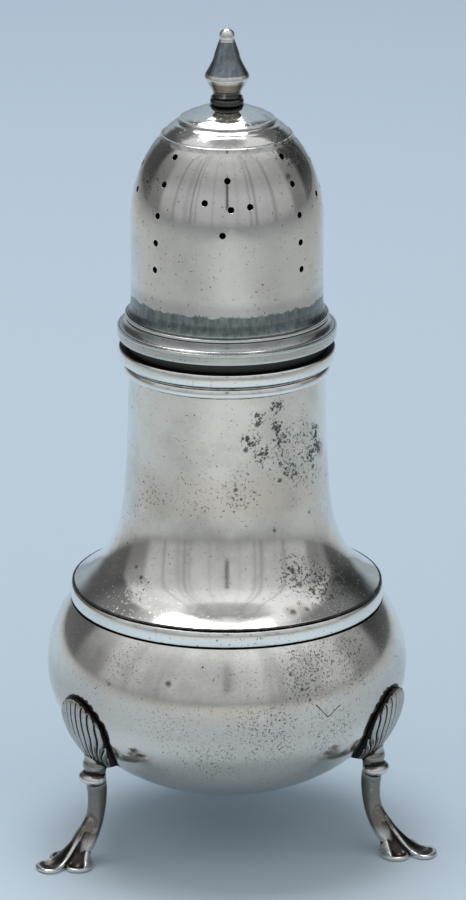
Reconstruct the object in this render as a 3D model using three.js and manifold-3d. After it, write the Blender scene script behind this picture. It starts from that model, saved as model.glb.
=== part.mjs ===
// A small pepper pot: a turned body on three cast shell legs, with a pierced pull-off cover.
//
// Millimetres, +Z up. The origin is on the pot's axis, on the table that it stands on, and the
// front of the pot faces -Y. The pot and its cover are turned work, so each of those pieces is a
// profile of [radius, height] points revolved about Z. A profile runs up the outside and down the
// inside. Heights are stacked from the table upwards, so a piece follows when one below it grows.

import * as THREE from 'three';
import { mergeVertices } from 'three/addons/utils/BufferGeometryUtils.js';
import Module from 'manifold-3d';

const wasm = await Module();
wasm.setup();

// Fineness of the model
const TURNED_SIDES = 36;
const FINIAL_SIDES = 18;
const HOLE_SIDES = 6;

// Fits
const SOLDER_GAP = 0.05;
const SLIDING_GAP = 0.1;
const LEG_GAP = 0.3;

// How far an edge is worn back on a crisp corner and on a rounded one
const WORN_EDGE = 0.15;
const SOFT_EDGE = 0.3;

// Bowl: two half spheroids that meet at the widest line
const BOWL_CLEARANCE = 6.7;
const BOWL_RADIUS = 25.2;
const BOWL_DEPTH = 18.2;
const BOWL_CROWN = 18.7;
const BOWL_SHOULDER_RISE = 9.3;
const BOWL_WALL = 0.6;

// Band round the shoulder, where the neck is soldered to the bowl
const BAND_HEIGHT = 2.5;
const BAND_BULGE = 0.3;
const BAND_WIDTH = 1.5;
const BAND_LEDGE = 0.15;

// Neck: a nearly straight pipe that flares to the band. Its line is given in shares: of the
// flare's spread and height, and then of the pipe's swell and height.
const NECK_HEIGHT = 33.8;
const NECK_MOUTH_RADIUS = 13.6;
const NECK_WALL = 0.6;
const NECK_SWELL = 0.7;
const NECK_FLARE_HEIGHT = 13.3;
const NECK_FLARE_SHARES = [[1, 0], [0.66, 0.135], [0.36, 0.31], [0.12, 0.61]];
const NECK_PIPE_SHARES = [[1, 0], [0.3, 0.52], [0, 1]];

// Collar: a moulded wire round the mouth of the neck, with a band above a groove and a fillet
const COLLAR_HEIGHT = 3.55;
const COLLAR_LIP = 0.55;
const COLLAR_BAND_HEIGHT = 1.75;
const COLLAR_BAND_WIDTH = 1.45;
const COLLAR_GROOVE_WIDTH = 0.5;
const COLLAR_FILLET_HEIGHT = 1.05;
const COLLAR_FILLET_WIDTH = 0.8;

// Sleeve: the part of the cover that slides into the mouth, with a flange that rests on the collar
const SLEEVE_DEPTH = 9;
const SLEEVE_WALL = 0.55;
const SLEEVE_FLANGE_WIDTH = 0.9;
const SLEEVE_FLANGE_HEIGHT = 2.35;

// Cover rim: a moulded wire with a lower ridge, a cove and an upper ridge
const RIM_SEAM = 1.35;
const RIM_FACE_HEIGHT = 1.6;
const RIM_COVE_HEIGHT = 1.6;
const RIM_COVE_DEPTH = 1.15;
const RIM_FOOT_HEIGHT = 1.8;
const RIM_FOOT_WIDTH = 0.73;
const RIM_LEDGE = 1;

// Pierced dome, which stands on the rim's ledge a little outside the sleeve's bore
const DOME_INSET = 0.3;
const DOME_WALL = 0.6;
const DOME_SIDE_HEIGHT = 14.5;
const DOME_RISE = 16.2;
const DOME_LAND_MARGIN = 0.04;
const DOME_LAND_DROP = 0.2;
const CROWN_STEP_RADII = [6.4, 8.9];
const CROWN_STEP_RISE = 0.35;

// Piercing: four upright rows of holes, and a cross of holes between each two rows
const HOLE_RADIUS = 0.42;
const COVER_TURN_ANGLE = -4.5;
const ROW_ANGLE = 49;
const ROW_HEIGHTS = [9.5, 13.3, 17.1, 21.3, 24.8];
const CROSS_HEIGHT = 19.2;
const CROSS_ARM_RISE = 3.7;
const CROSS_ARM_ANGLE = 14.7;

// Finial: ball, cone, waist and foot, with a peg through the crown
const PEG_RADIUS = 0.95;
const PEG_LENGTH = 1;
const FINIAL_FOOT_RADIUS = 2.31;
const FINIAL_FOOT_HEIGHT = 1.15;
const FINIAL_WAIST_RADIUS = 1.85;
const FINIAL_WAIST_RISE = 2.5;
const FINIAL_CONE_RADIUS = 3.07;
const FINIAL_CONE_BASE_RISE = 3.9;
const FINIAL_CONE_HEIGHT = 5.35;
const FINIAL_CONE_BROW = 0.4;
const FINIAL_NECK_RADIUS = 1;
const FINIAL_BALL_RADIUS = 1.07;
// The cone's line from its base up, in shares of its taper and height
const FINIAL_CONE_SHARES = [[1, 0], [0.95, 0.09], [0.7, 0.26], [0.45, 0.46], [0.3, 0.66], [0, 1]];

// Legs: a shell on the bowl, a rolled knop, a slim stem and a foot with three toes
const LEG_ANGLES = { leg_front_left: -60, leg_front_right: 60, leg_back: 180 };
const FOOT_TURN_ANGLES = { leg_front_left: -2, leg_front_right: 6, leg_back: 0 };
const SHELL_BASE_DROP = 11.2;
const SHELL_HALF_WIDTHS = [2.1, 3.7, 4.4, 4.3, 3.1];
const SHELL_BASE_THICKNESS = 2.4;
const SHELL_TOP_THICKNESS = 1.1;
const SHELL_EDGE_SHARE = 0.35;
const SHELL_TOP_SHARE = 0.24;
const SHELL_ROWS = 5;
const SHELL_RIBS = 9;
const RIB_DEPTH = 0.35;
const RIB_SCALLOP = 0.35;
const KNOP_DROP = 11.9;
const KNOP_STAND_OFF = 4.1;
const KNOP_HALF_SIZE = [2.1, 1.7, 1.4];
const STEM_SIDES = 12;
const STEM_STEPS = 9;
// The stem's stations, from the foot up: their heights as shares of the knop's height, and at each
// how far out it is from the knop and its half sizes fore and aft and across
const STEM_HEIGHT_SHARES = [0.1, 0.21, 0.34, 0.48, 0.64, 0.8, 1, 1.2];
const STEM_SECTIONS = [
  [2.6, 0.8, 1.7],
  [1.4, 1.35, 2],
  [0.2, 1.35, 1.6],
  [-0.65, 1.25, 1.3],
  [-1, 1.3, 1.3],
  [-1, 1.4, 1.45],
  [-0.7, 1.6, 1.8],
  [-1.2, 1.8, 2.2],
];
const ANKLE_STEP = 2;
const FOOT_EDGE = 1.2;
const FOOT_BEVEL = 0.35;
const FOOT_HOLLOW = 0.75;
const FOOT_RISE = 5.2;
const FOOT_LEAN = 1.9;
// Half the foot's outline, from the heel round a side toe to the middle toe's tip, measured from
// the ankle
const TOE_OUTLINE = [
  [-1.6, 0], [-1.2, 1.7], [-0.1, 3.2], [1.3, 3.9], [2.7, 3.5], [3.4, 2.4], [3.2, 1.4], [4.1, 1.7],
  [5.3, 2], [6.4, 1.4], [6.8, 0],
];
// The sole's outline as a share of the foot's
const SOLE_SHARE = 0.97;
// The direction of the spine between two toes, from the line of the middle toe
const SPINE_ANGLE = 24;
// Rings on top of the foot: the outline's share, its share of the rise, and of the toes' hollow
const FOOT_TOP_SHARES = [
  [0.94, 0, 0], [0.8, 0.06, 0.75], [0.62, 0.2, 1], [0.45, 0.42, 0.7], [0.3, 0.7, 0.3], [0.2, 1, 0],
];

// Heights from the table
const bowlCentre = BOWL_CLEARANCE + BOWL_DEPTH;
const bowlTop = bowlCentre + BOWL_SHOULDER_RISE;
const neckBase = bowlTop + BAND_HEIGHT;
const neckTop = neckBase + NECK_HEIGHT;
const collarTop = neckTop + COLLAR_LIP;
const collarBase = collarTop - COLLAR_HEIGHT;
const rimBase = collarTop + RIM_SEAM;
const ledgeBase = collarTop + SLEEVE_FLANGE_HEIGHT;
const domeBase = ledgeBase + RIM_LEDGE;
const domeSpring = domeBase + DOME_SIDE_HEIGHT;
const domeLand = domeSpring + DOME_RISE - DOME_LAND_DROP;

// Radii that two pieces share, from the mouth of the neck to the cover
const boreRadius = NECK_MOUTH_RADIUS - NECK_WALL;
const sleeveRadius = boreRadius - SLIDING_GAP;
const sleeveBore = sleeveRadius - SLEEVE_WALL;
const flangeRadius = boreRadius + SLEEVE_FLANGE_WIDTH;
const domeRadius = sleeveBore + DOME_INSET + DOME_WALL;
const rimFootRadius = domeRadius + RIM_FOOT_WIDTH;
const rimRadius = rimFootRadius + RIM_COVE_DEPTH;
const landRadius = FINIAL_FOOT_RADIUS + DOME_LAND_MARGIN;
const pegHoleRadius = PEG_RADIUS + SOLDER_GAP;

// Silver as it is today: bright where it is handled, grey where it is not
const SILVER = {
  bright: { color: 0xc4c2bb, roughness: 0.3, metalness: 1 },
  soft: { color: 0xb0aea8, roughness: 0.38, metalness: 1 },
  tarnished: { color: 0x70757d, roughness: 0.45, metalness: 1 },
  worn: { color: 0x8d8880, roughness: 0.36, metalness: 1 },
};

// Points along a quarter or less of an ellipse, from one angle to another, in degrees
function arc(centreRadius, centreHeight, halfWidth, halfHeight, from, to, steps) {
  const points = [];
  for (let i = 0; i <= steps; i += 1) {
    const angle = THREE.MathUtils.degToRad(THREE.MathUtils.lerp(from, to, i / steps));
    points.push([centreRadius + halfWidth * Math.cos(angle), centreHeight + halfHeight * Math.sin(angle)]);
  }
  return points;
}

// Points on a smooth curve through the given ones
function smooth(points, steps) {
  const curve = new THREE.SplineCurve(points.map(([x, y]) => new THREE.Vector2(x, y)));
  return curve.getPoints(steps).map((p) => [p.x, p.y]);
}

// The same points moved sideways, to the left of the way that they run
function offset(points, distance) {
  return points.map(([x, y], i) => {
    const [fromX, fromY] = points[Math.max(i - 1, 0)];
    const [toX, toY] = points[Math.min(i + 1, points.length - 1)];
    const length = Math.hypot(toX - fromX, toY - fromY);
    return [x - (distance * (toY - fromY)) / length, y + (distance * (toX - fromX)) / length];
  });
}

// The height above the ellipse's centre at which it has a given radius
function ellipseRise(radius, halfWidth, halfHeight) {
  return halfHeight * Math.sqrt(Math.max(0, 1 - (radius / halfWidth) ** 2));
}

// One closed skin: shared vertices merged, and the flat slivers at a pole dropped
function welded(geometry) {
  const bare = new THREE.BufferGeometry();
  bare.setAttribute('position', geometry.getAttribute('position'));
  bare.setIndex(geometry.getIndex());
  const merged = mergeVertices(bare);
  const corners = merged.getIndex().array;
  const kept = [];
  for (let i = 0; i < corners.length; i += 3) {
    const [a, b, c] = [corners[i], corners[i + 1], corners[i + 2]];
    if (a !== b && b !== c && c !== a) kept.push(a, b, c);
  }
  merged.setIndex(kept);
  merged.computeVertexNormals();
  return merged;
}

// A profile revolved about Z
function turned(profile, sides = TURNED_SIDES) {
  const points = profile.map(([radius, height]) => new THREE.Vector2(radius, height));
  return welded(new THREE.LatheGeometry(points, sides).rotateX(Math.PI / 2));
}

function toManifold(geometry) {
  const skin = welded(geometry);
  return new wasm.Manifold(new wasm.Mesh({
    numProp: 3,
    vertProperties: new Float32Array(skin.getAttribute('position').array),
    triVerts: new Uint32Array(skin.getIndex().array),
  }));
}

function toGeometry(manifold) {
  const mesh = manifold.getMesh();
  const geometry = new THREE.BufferGeometry();
  geometry.setAttribute('position', new THREE.BufferAttribute(mesh.vertProperties, 3));
  geometry.setIndex(new THREE.BufferAttribute(mesh.triVerts, 1));
  geometry.computeVertexNormals();
  return geometry;
}

// Closes a ring to a point at its middle. It suits a ring that the middle sees all of.
function fanCap(ring, first, positions, triangles) {
  const middle = positions.length / 3;
  const centre = ring.reduce((sum, p) => sum.add(p), new THREE.Vector3()).divideScalar(ring.length);
  positions.push(centre.x, centre.y, centre.z);
  ring.forEach((_, i) => triangles.push(first + i, middle, first + ((i + 1) % ring.length)));
}

// Closes a ring with rungs between its two long sides. It suits a thin, bent ring.
function ladderCap(ring, first, positions, triangles) {
  const last = ring.length - 1;
  for (let i = 0; i < ring.length / 2 - 1; i += 1) {
    const [a, b, c, d] = [i, i + 1, last - i - 1, last - i].map((k) => first + k);
    triangles.push(a, c, b, a, d, c);
  }
}

// A closed skin over rings with the same number of points. The rings run anticlockwise as seen
// from the end that they go to.
function loft(rings, cap) {
  const positions = rings.flat().flatMap((p) => [p.x, p.y, p.z]);
  const count = rings[0].length;
  const triangles = [];
  for (let r = 0; r < rings.length - 1; r += 1) {
    for (let i = 0; i < count; i += 1) {
      const [a, b] = [r * count + i, r * count + ((i + 1) % count)];
      triangles.push(a, b, b + count, a, b + count, a + count);
    }
  }
  const ends = [];
  cap(rings[0], 0, positions, ends);
  triangles.push(...ends);
  const lid = [];
  cap(rings.at(-1), (rings.length - 1) * count, positions, lid);
  triangles.push(...lid.reverse());
  const geometry = new THREE.BufferGeometry();
  geometry.setAttribute('position', new THREE.Float32BufferAttribute(positions, 3));
  geometry.setIndex(triangles);
  return geometry;
}

function piece(name, geometry, finish) {
  const mesh = new THREE.Mesh(geometry, new THREE.MeshStandardMaterial(SILVER[finish]));
  mesh.name = name;
  return mesh;
}

// Outer radius of the bowl at a height
function bowlRadiusAt(height) {
  const rise = height - bowlCentre;
  const half = rise < 0 ? BOWL_DEPTH : BOWL_CROWN;
  return BOWL_RADIUS * Math.sqrt(Math.max(0, 1 - (rise / half) ** 2));
}

function bowl() {
  const cutAngle = (half) => THREE.MathUtils.radToDeg(Math.asin(BOWL_SHOULDER_RISE / half));
  const below = arc(0, bowlCentre, BOWL_RADIUS, BOWL_DEPTH, -90, 0, 9);
  const above = arc(0, bowlCentre, BOWL_RADIUS, BOWL_CROWN, 0, cutAngle(BOWL_CROWN), 3);
  const innerRadius = BOWL_RADIUS - BOWL_WALL;
  const innerCrown = BOWL_CROWN - BOWL_WALL;
  const insideAbove = arc(0, bowlCentre, innerRadius, innerCrown, cutAngle(innerCrown), 0, 2);
  const insideBelow = arc(0, bowlCentre, innerRadius, BOWL_DEPTH - BOWL_WALL, 0, -90, 7);
  return turned([...below, ...above.slice(1), ...insideAbove, ...insideBelow.slice(1)]);
}

// The band bulges a little past the bowl's edge, and the neck's flare stands on it
const bandRadius = bowlRadiusAt(bowlTop);
const bandBore = bandRadius - BAND_WIDTH;
const flareRadius = bandRadius - BAND_LEDGE;

function shoulderBand() {
  const middle = bowlTop + BAND_HEIGHT / 2;
  const bulge = arc(bandRadius - BAND_BULGE, middle, BAND_BULGE + SOLDER_GAP, BAND_HEIGHT / 2, -90, 90, 6);
  return turned([[bandBore, bowlTop], ...bulge, [bandBore, neckBase], [bandBore, bowlTop]]);
}

// The neck's outer line, from the band up to the mouth
function neckLine() {
  const pipeRadius = NECK_MOUTH_RADIUS + NECK_SWELL;
  const spread = flareRadius - pipeRadius;
  const pipeBase = neckBase + NECK_FLARE_HEIGHT;
  const flare = NECK_FLARE_SHARES.map(([out, up]) => [
    pipeRadius + spread * out,
    neckBase + NECK_FLARE_HEIGHT * up,
  ]);
  const pipe = NECK_PIPE_SHARES.map(([out, up]) => [
    NECK_MOUTH_RADIUS + NECK_SWELL * out,
    THREE.MathUtils.lerp(pipeBase, collarBase, up),
  ]);
  return [...smooth([...flare, ...pipe], 10), [NECK_MOUTH_RADIUS, neckTop]];
}

function neck() {
  const outside = neckLine();
  const inside = offset(outside, NECK_WALL);
  const footRun = (outside[1][0] - outside[0][0]) / (outside[1][1] - outside[0][1]);
  const footWidth = NECK_WALL * Math.hypot(1, footRun);
  inside[0] = [flareRadius - footWidth, neckBase];
  inside[inside.length - 1] = [boreRadius, neckTop];
  inside[inside.length - 2][0] = boreRadius;
  return turned([...outside, ...inside.reverse(), outside[0]]);
}

// The collar covers the neck's top edge, so its own top is the mouth
function collar() {
  const bandBase = collarTop - COLLAR_BAND_HEIGHT;
  const filletTop = collarBase + COLLAR_FILLET_HEIGHT;
  const bore = NECK_MOUTH_RADIUS + SOLDER_GAP;
  const band = NECK_MOUTH_RADIUS + COLLAR_BAND_WIDTH;
  const groove = NECK_MOUTH_RADIUS + COLLAR_GROOVE_WIDTH;
  const fillet = NECK_MOUTH_RADIUS + COLLAR_FILLET_WIDTH;
  return turned([
    [bore, collarBase],
    [fillet - SOFT_EDGE, collarBase],
    [fillet, collarBase + SOFT_EDGE],
    [fillet, filletTop - WORN_EDGE],
    [groove, filletTop],
    [groove, bandBase - SOFT_EDGE],
    [band - WORN_EDGE, bandBase],
    [band, bandBase + SOFT_EDGE],
    [band, collarTop - SOFT_EDGE],
    [band - WORN_EDGE, collarTop],
    [boreRadius, collarTop],
    [boreRadius, neckTop],
    [bore, neckTop],
    [bore, collarBase],
  ]);
}

function sleeve() {
  const foot = collarTop - SLEEVE_DEPTH;
  return turned([
    [sleeveBore, foot],
    [sleeveRadius - WORN_EDGE, foot],
    [sleeveRadius, foot + SOFT_EDGE],
    [sleeveRadius, collarTop],
    [flangeRadius, collarTop],
    [flangeRadius, ledgeBase],
    [sleeveBore, ledgeBase],
    [sleeveBore, foot],
  ]);
}

// The rim wire holds the dome on the top of an inner ledge, and the sleeve against its underside
function coverRim() {
  const recess = flangeRadius + SOLDER_GAP;
  const socket = domeRadius + SOLDER_GAP;
  const faceTop = rimBase + RIM_FACE_HEIGHT;
  const ridge = faceTop + RIM_COVE_HEIGHT;
  const top = ridge + RIM_FOOT_HEIGHT;
  const cove = arc(rimRadius, ridge - WORN_EDGE, RIM_COVE_DEPTH, RIM_COVE_HEIGHT - WORN_EDGE, 270, 180, 3);
  const foot = arc(rimFootRadius, top, rimFootRadius - socket, RIM_FOOT_HEIGHT - WORN_EDGE, 255, 180, 3);
  return turned([
    [recess, rimBase],
    [rimRadius - WORN_EDGE, rimBase],
    [rimRadius, rimBase + SOFT_EDGE],
    ...cove,
    [rimFootRadius, ridge],
    ...foot,
    [socket, domeBase],
    [sleeveBore, domeBase],
    [sleeveBore, ledgeBase],
    [recess, ledgeBase],
    [recess, rimBase],
  ]);
}

// Outer line of the dome from its foot to the land under the finial, with two fine steps
function domeLine() {
  const heightOf = (radius) => domeSpring + ellipseRise(radius, domeRadius, DOME_RISE);
  const onDome = (radius, lift = 0) => [radius, heightOf(radius) + lift];
  const half = CROWN_STEP_RISE / 2;
  const step = (radius) => [onDome(radius + WORN_EDGE, -half), onDome(radius, half)];
  const [upper, lower] = CROWN_STEP_RADII;
  const brow = THREE.MathUtils.radToDeg(Math.acos((lower + 2 * SOFT_EDGE) / domeRadius));
  return [
    [domeRadius, domeBase],
    ...arc(0, domeSpring, domeRadius, DOME_RISE, 0, brow, 7),
    ...step(lower),
    onDome((lower + upper) / 2),
    ...step(upper),
    onDome((upper + landRadius) / 2),
    [landRadius, domeLand],
  ];
}

// One drill for each hole, square to the dome where it enters
function drill(angle, height) {
  const rise = height - domeSpring;
  const radius = rise > 0 ? domeRadius * Math.sqrt(1 - (rise / DOME_RISE) ** 2) : domeRadius;
  const slope = rise > 0 ? Math.atan2(rise / DOME_RISE ** 2, radius / domeRadius ** 2) : 0;
  const bit = new THREE.CylinderGeometry(HOLE_RADIUS, HOLE_RADIUS, 6 * DOME_WALL, HOLE_SIDES);
  bit.rotateX(-slope);
  bit.translate(0, -radius, height);
  return toManifold(bit.rotateZ(THREE.MathUtils.degToRad(angle)));
}

function dome() {
  const inside = arc(0, domeSpring, domeRadius - DOME_WALL, DOME_RISE - DOME_WALL, 85, 0, 6);
  const land = [[pegHoleRadius, domeLand], [pegHoleRadius, inside[0][1]]];
  const foot = [[domeRadius - DOME_WALL, domeBase], [domeRadius, domeBase]];
  let shell = toManifold(turned([...domeLine(), ...land, ...inside, ...foot]));
  const turnedBy = (angle) => angle + COVER_TURN_ANGLE;
  const faces = [0, 90, 180, 270].map(turnedBy);
  const rows = [-ROW_ANGLE, ROW_ANGLE, 180 - ROW_ANGLE, 180 + ROW_ANGLE].map(turnedBy);
  for (const row of rows) {
    for (const height of ROW_HEIGHTS) shell = shell.subtract(drill(row, domeBase + height));
  }
  const middle = domeBase + CROSS_HEIGHT;
  for (const face of faces) {
    for (const step of [-1, 0, 1]) shell = shell.subtract(drill(face, middle + step * CROSS_ARM_RISE));
    for (const side of [-1, 1]) shell = shell.subtract(drill(face + side * CROSS_ARM_ANGLE, middle));
  }
  return toGeometry(shell);
}

function finial() {
  const cone = domeLand + FINIAL_CONE_BASE_RISE;
  const waistTop = domeLand + FINIAL_WAIST_RISE;
  const footTop = domeLand + FINIAL_FOOT_HEIGHT;
  const taper = FINIAL_CONE_RADIUS - FINIAL_NECK_RADIUS;
  const coneLine = FINIAL_CONE_SHARES.map(([out, up]) => [
    FINIAL_NECK_RADIUS + taper * out,
    cone + FINIAL_CONE_HEIGHT * up,
  ]);
  const neckAngle = -THREE.MathUtils.radToDeg(Math.acos(FINIAL_NECK_RADIUS / FINIAL_BALL_RADIUS));
  const ballRise = Math.sqrt(FINIAL_BALL_RADIUS ** 2 - FINIAL_NECK_RADIUS ** 2);
  const ball = cone + FINIAL_CONE_HEIGHT + ballRise;
  const ballArc = arc(0, ball, FINIAL_BALL_RADIUS, FINIAL_BALL_RADIUS, neckAngle, 90, 7);
  return turned([
    [0, domeLand - PEG_LENGTH],
    [PEG_RADIUS, domeLand - PEG_LENGTH],
    [PEG_RADIUS, domeLand],
    [FINIAL_FOOT_RADIUS - SOFT_EDGE, domeLand],
    [FINIAL_FOOT_RADIUS, domeLand + SOFT_EDGE],
    [FINIAL_FOOT_RADIUS, footTop - SOFT_EDGE],
    [FINIAL_WAIST_RADIUS + WORN_EDGE, footTop],
    [FINIAL_WAIST_RADIUS, waistTop - FINIAL_CONE_BROW],
    [FINIAL_WAIST_RADIUS + SOFT_EDGE, waistTop],
    [FINIAL_CONE_RADIUS - SOFT_EDGE, cone - FINIAL_CONE_BROW],
    ...coneLine,
    ...ballArc.slice(1),
  ], FINIAL_SIDES);
}

// A leg is built facing the front, at a radius out from the pot's axis and a distance to the side
function inLeg(radius, side, height) {
  return new THREE.Vector3(side, -radius, height);
}

// The shell is wrapped on the bowl. Its ribs run from the base and open like a fan, its top edge
// is scalloped, and it is thicker at the base, where the leg stands off the bowl.
function legShell() {
  const columns = SHELL_RIBS * 3;
  const base = bowlCentre - SHELL_BASE_DROP;
  const widths = new THREE.SplineCurve(SHELL_HALF_WIDTHS.map((w, i) => new THREE.Vector2(i, w)));
  const rings = [];
  for (let row = 0; row <= SHELL_ROWS; row += 1) {
    const up = row / SHELL_ROWS;
    const halfWidth = widths.getPoint(up).y;
    const thickness = THREE.MathUtils.lerp(SHELL_BASE_THICKNESS, SHELL_TOP_THICKNESS, up);
    const front = [];
    const back = [];
    for (let column = 0; column <= columns; column += 1) {
      const across = (2 * column) / columns - 1;
      const inGroove = column % 3 === 0;
      const scallop = inGroove ? 0 : RIB_SCALLOP * up ** 6;
      const height = base + SHELL_BASE_DROP * up * (1 - SHELL_TOP_SHARE * across ** 2 * up ** 2) + scallop;
      const onBowl = bowlRadiusAt(height);
      const crown = thickness * (1 - SHELL_EDGE_SHARE * across ** 2) - (inGroove ? RIB_DEPTH : 0);
      const angle = (across * halfWidth) / (onBowl + thickness);
      const at = (radius) => inLeg(radius * Math.cos(angle), radius * Math.sin(angle), height);
      front.push(at(onBowl + crown));
      back.push(at(onBowl - LEG_GAP));
    }
    rings.push([...front, ...back.reverse()]);
  }
  return loft(rings, ladderCap);
}

const knopHeight = bowlCentre - KNOP_DROP;
const knopRadius = bowlRadiusAt(knopHeight) + KNOP_STAND_OFF;

function legKnop() {
  const [halfWidth, halfDepth, halfHeight] = KNOP_HALF_SIZE;
  const ball = new THREE.SphereGeometry(1, 12, 7).rotateX(Math.PI / 2);
  ball.scale(halfWidth, halfDepth, halfHeight);
  const centre = inLeg(knopRadius, 0, knopHeight);
  return ball.translate(centre.x, centre.y, centre.z);
}

function legStem() {
  const middle = new THREE.SplineCurve(
    STEM_SECTIONS.map(([out], i) => new THREE.Vector2(knopRadius + out, knopHeight * STEM_HEIGHT_SHARES[i])),
  );
  const sizes = new THREE.SplineCurve(
    STEM_SECTIONS.map(([, fore, across]) => new THREE.Vector2(fore, across)),
  );
  const rings = [];
  for (let step = 0; step <= STEM_STEPS; step += 1) {
    const along = step / STEM_STEPS;
    const at = middle.getPoint(along);
    const heading = middle.getTangent(along);
    const { x: fore, y: across } = sizes.getPoint(along);
    const ring = [];
    for (let i = 0; i < STEM_SIDES; i += 1) {
      const angle = (2 * Math.PI * (i + 0.5)) / STEM_SIDES;
      const reach = fore * Math.cos(angle);
      ring.push(inLeg(at.x + reach * heading.y, across * Math.sin(angle), at.y - reach * heading.x));
    }
    rings.push(ring);
  }
  return loft(rings, ladderCap);
}

// How deep the foot is hollowed in a direction from the ankle: fully in the middle of each toe, and
// not at all on the spines between the toes or at the heel
function toeShare(point) {
  const angle = THREE.MathUtils.radToDeg(Math.abs(Math.atan2(point.y, point.x)));
  const spines = Math.min(angle / SPINE_ANGLE, 3);
  return Math.abs(Math.cos((spines * Math.PI) / 2));
}

// The foot has three toes. Its outline is the sole and the edge, and rings that shrink to the stem
// make a bright rim, a hollow in each toe, and spines that come down between them.
function legFoot(turn) {
  const half = new THREE.SplineCurve(TOE_OUTLINE.map(([out, side]) => new THREE.Vector2(out, side)));
  const oneSide = half.getPoints(TOE_OUTLINE.length - 1);
  const otherSide = oneSide.slice(1, -1).reverse().map((p) => new THREE.Vector2(p.x, -p.y));
  const outline = [...oneSide, ...otherSide].reverse();
  const edge = [[SOLE_SHARE, 0, 0, 0], [1, FOOT_BEVEL, 0, 0], [1, FOOT_EDGE - FOOT_BEVEL, 0, 0]];
  const top = FOOT_TOP_SHARES.map(([size, up, hollow]) => [
    size,
    THREE.MathUtils.lerp(FOOT_EDGE, FOOT_RISE, up),
    FOOT_HOLLOW * hollow,
    FOOT_LEAN * up,
  ]);
  const ankle = knopRadius + ANKLE_STEP;
  const swing = THREE.MathUtils.degToRad(turn);
  const rings = [...edge, ...top].map(([size, height, hollow, lean]) => outline.map((p) => {
    const point = p.clone().multiplyScalar(size).rotateAround(new THREE.Vector2(), swing);
    return inLeg(ankle - lean + point.x, point.y, height - hollow * toeShare(p));
  }));
  return loft(rings, fanCap);
}

// The bowl with the solder's thickness all round, to trim what lies on it
function bowlWithGap() {
  const radius = BOWL_RADIUS + LEG_GAP;
  const below = arc(0, bowlCentre, radius, BOWL_DEPTH + LEG_GAP, -90, 0, 12);
  const above = arc(0, bowlCentre, radius, BOWL_CROWN + LEG_GAP, 0, 90, 8);
  return turned([...below, ...above.slice(1)]);
}

function leg(name) {
  const casting = [legKnop(), legStem(), legFoot(FOOT_TURN_ANGLES[name])]
    .map(toManifold)
    .reduce((joined, next) => joined.add(next), toManifold(legShell()));
  const trimmed = toGeometry(casting.subtract(toManifold(bowlWithGap())));
  const mesh = piece(name, trimmed, 'worn');
  mesh.rotation.z = THREE.MathUtils.degToRad(LEG_ANGLES[name]);
  return mesh;
}

const pot = new THREE.Group();
pot.add(
  piece('bowl', bowl(), 'soft'),
  piece('shoulder_band', shoulderBand(), 'bright'),
  piece('neck', neck(), 'bright'),
  piece('body_collar', collar(), 'bright'),
  ...Object.keys(LEG_ANGLES).map(leg),
);

const cover = new THREE.Group();
cover.add(
  piece('cover_sleeve', sleeve(), 'tarnished'),
  piece('cover_rim', coverRim(), 'tarnished'),
  piece('cover_dome', dome(), 'bright'),
  piece('finial', finial(), 'tarnished'),
);

const pepperPot = new THREE.Group();
pepperPot.add(pot, cover);

export default pepperPot;
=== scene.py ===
# %% [markdown]
# # A silver pepper pot
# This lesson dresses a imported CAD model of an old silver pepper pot. The pot stands on three cast
# legs, has a round bowl, a waisted neck and a pull-off cover with a pierced dome. The CAD pieces are
# coarse: the turned ones have 36 sides, and the finial 18. Each is replaced by a fine mesh of the same
# size in the same place, and then given the finish of silver that has been used and polished for a
# long time.
#
# The frame comes first. Its bodies say what moves, and its boxes say how big each piece is.

# %% Load the frame
import math

import bmesh
import bpy
import numpy as np
from mathutils import Matrix, Vector, noise
from mathutils.bvhtree import BVHTree


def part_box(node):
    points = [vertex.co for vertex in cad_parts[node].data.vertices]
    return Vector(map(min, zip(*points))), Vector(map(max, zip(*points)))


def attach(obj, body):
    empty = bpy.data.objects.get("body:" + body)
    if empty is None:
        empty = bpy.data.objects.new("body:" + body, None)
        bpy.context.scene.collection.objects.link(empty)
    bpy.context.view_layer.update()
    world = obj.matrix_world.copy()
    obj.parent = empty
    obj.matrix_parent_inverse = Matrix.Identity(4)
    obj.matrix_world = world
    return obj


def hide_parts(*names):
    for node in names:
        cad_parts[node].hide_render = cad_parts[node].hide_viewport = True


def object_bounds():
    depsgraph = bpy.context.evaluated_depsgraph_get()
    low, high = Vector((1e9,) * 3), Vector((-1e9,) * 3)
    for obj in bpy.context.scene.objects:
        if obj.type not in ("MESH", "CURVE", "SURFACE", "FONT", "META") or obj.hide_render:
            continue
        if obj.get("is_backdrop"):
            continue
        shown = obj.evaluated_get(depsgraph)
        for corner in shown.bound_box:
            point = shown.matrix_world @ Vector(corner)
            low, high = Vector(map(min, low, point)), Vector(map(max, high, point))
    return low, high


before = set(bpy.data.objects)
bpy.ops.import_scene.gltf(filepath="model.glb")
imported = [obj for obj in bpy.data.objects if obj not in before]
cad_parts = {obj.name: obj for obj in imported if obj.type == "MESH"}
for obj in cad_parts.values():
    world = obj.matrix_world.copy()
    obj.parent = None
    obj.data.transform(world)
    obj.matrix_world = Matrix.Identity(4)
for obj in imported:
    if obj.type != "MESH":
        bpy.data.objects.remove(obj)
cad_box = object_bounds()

MM = 0.001

# %% [markdown]
# ## Sizes from the frame
# All the turned pieces share the Z axis, so a piece's box gives its foot, its top and its largest
# radius. They are read from the frame once, in millimetres, and the profiles below start from them.
# Where one piece sits in another, the hole is wider than the piece by `CLEARANCE` all round.

# %% Read the heights and radii of the turned pieces
def foot_of(node):
    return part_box(node)[0].z / MM


def top_of(node):
    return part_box(node)[1].z / MM


def radius_of(node):
    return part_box(node)[1].x / MM


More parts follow.
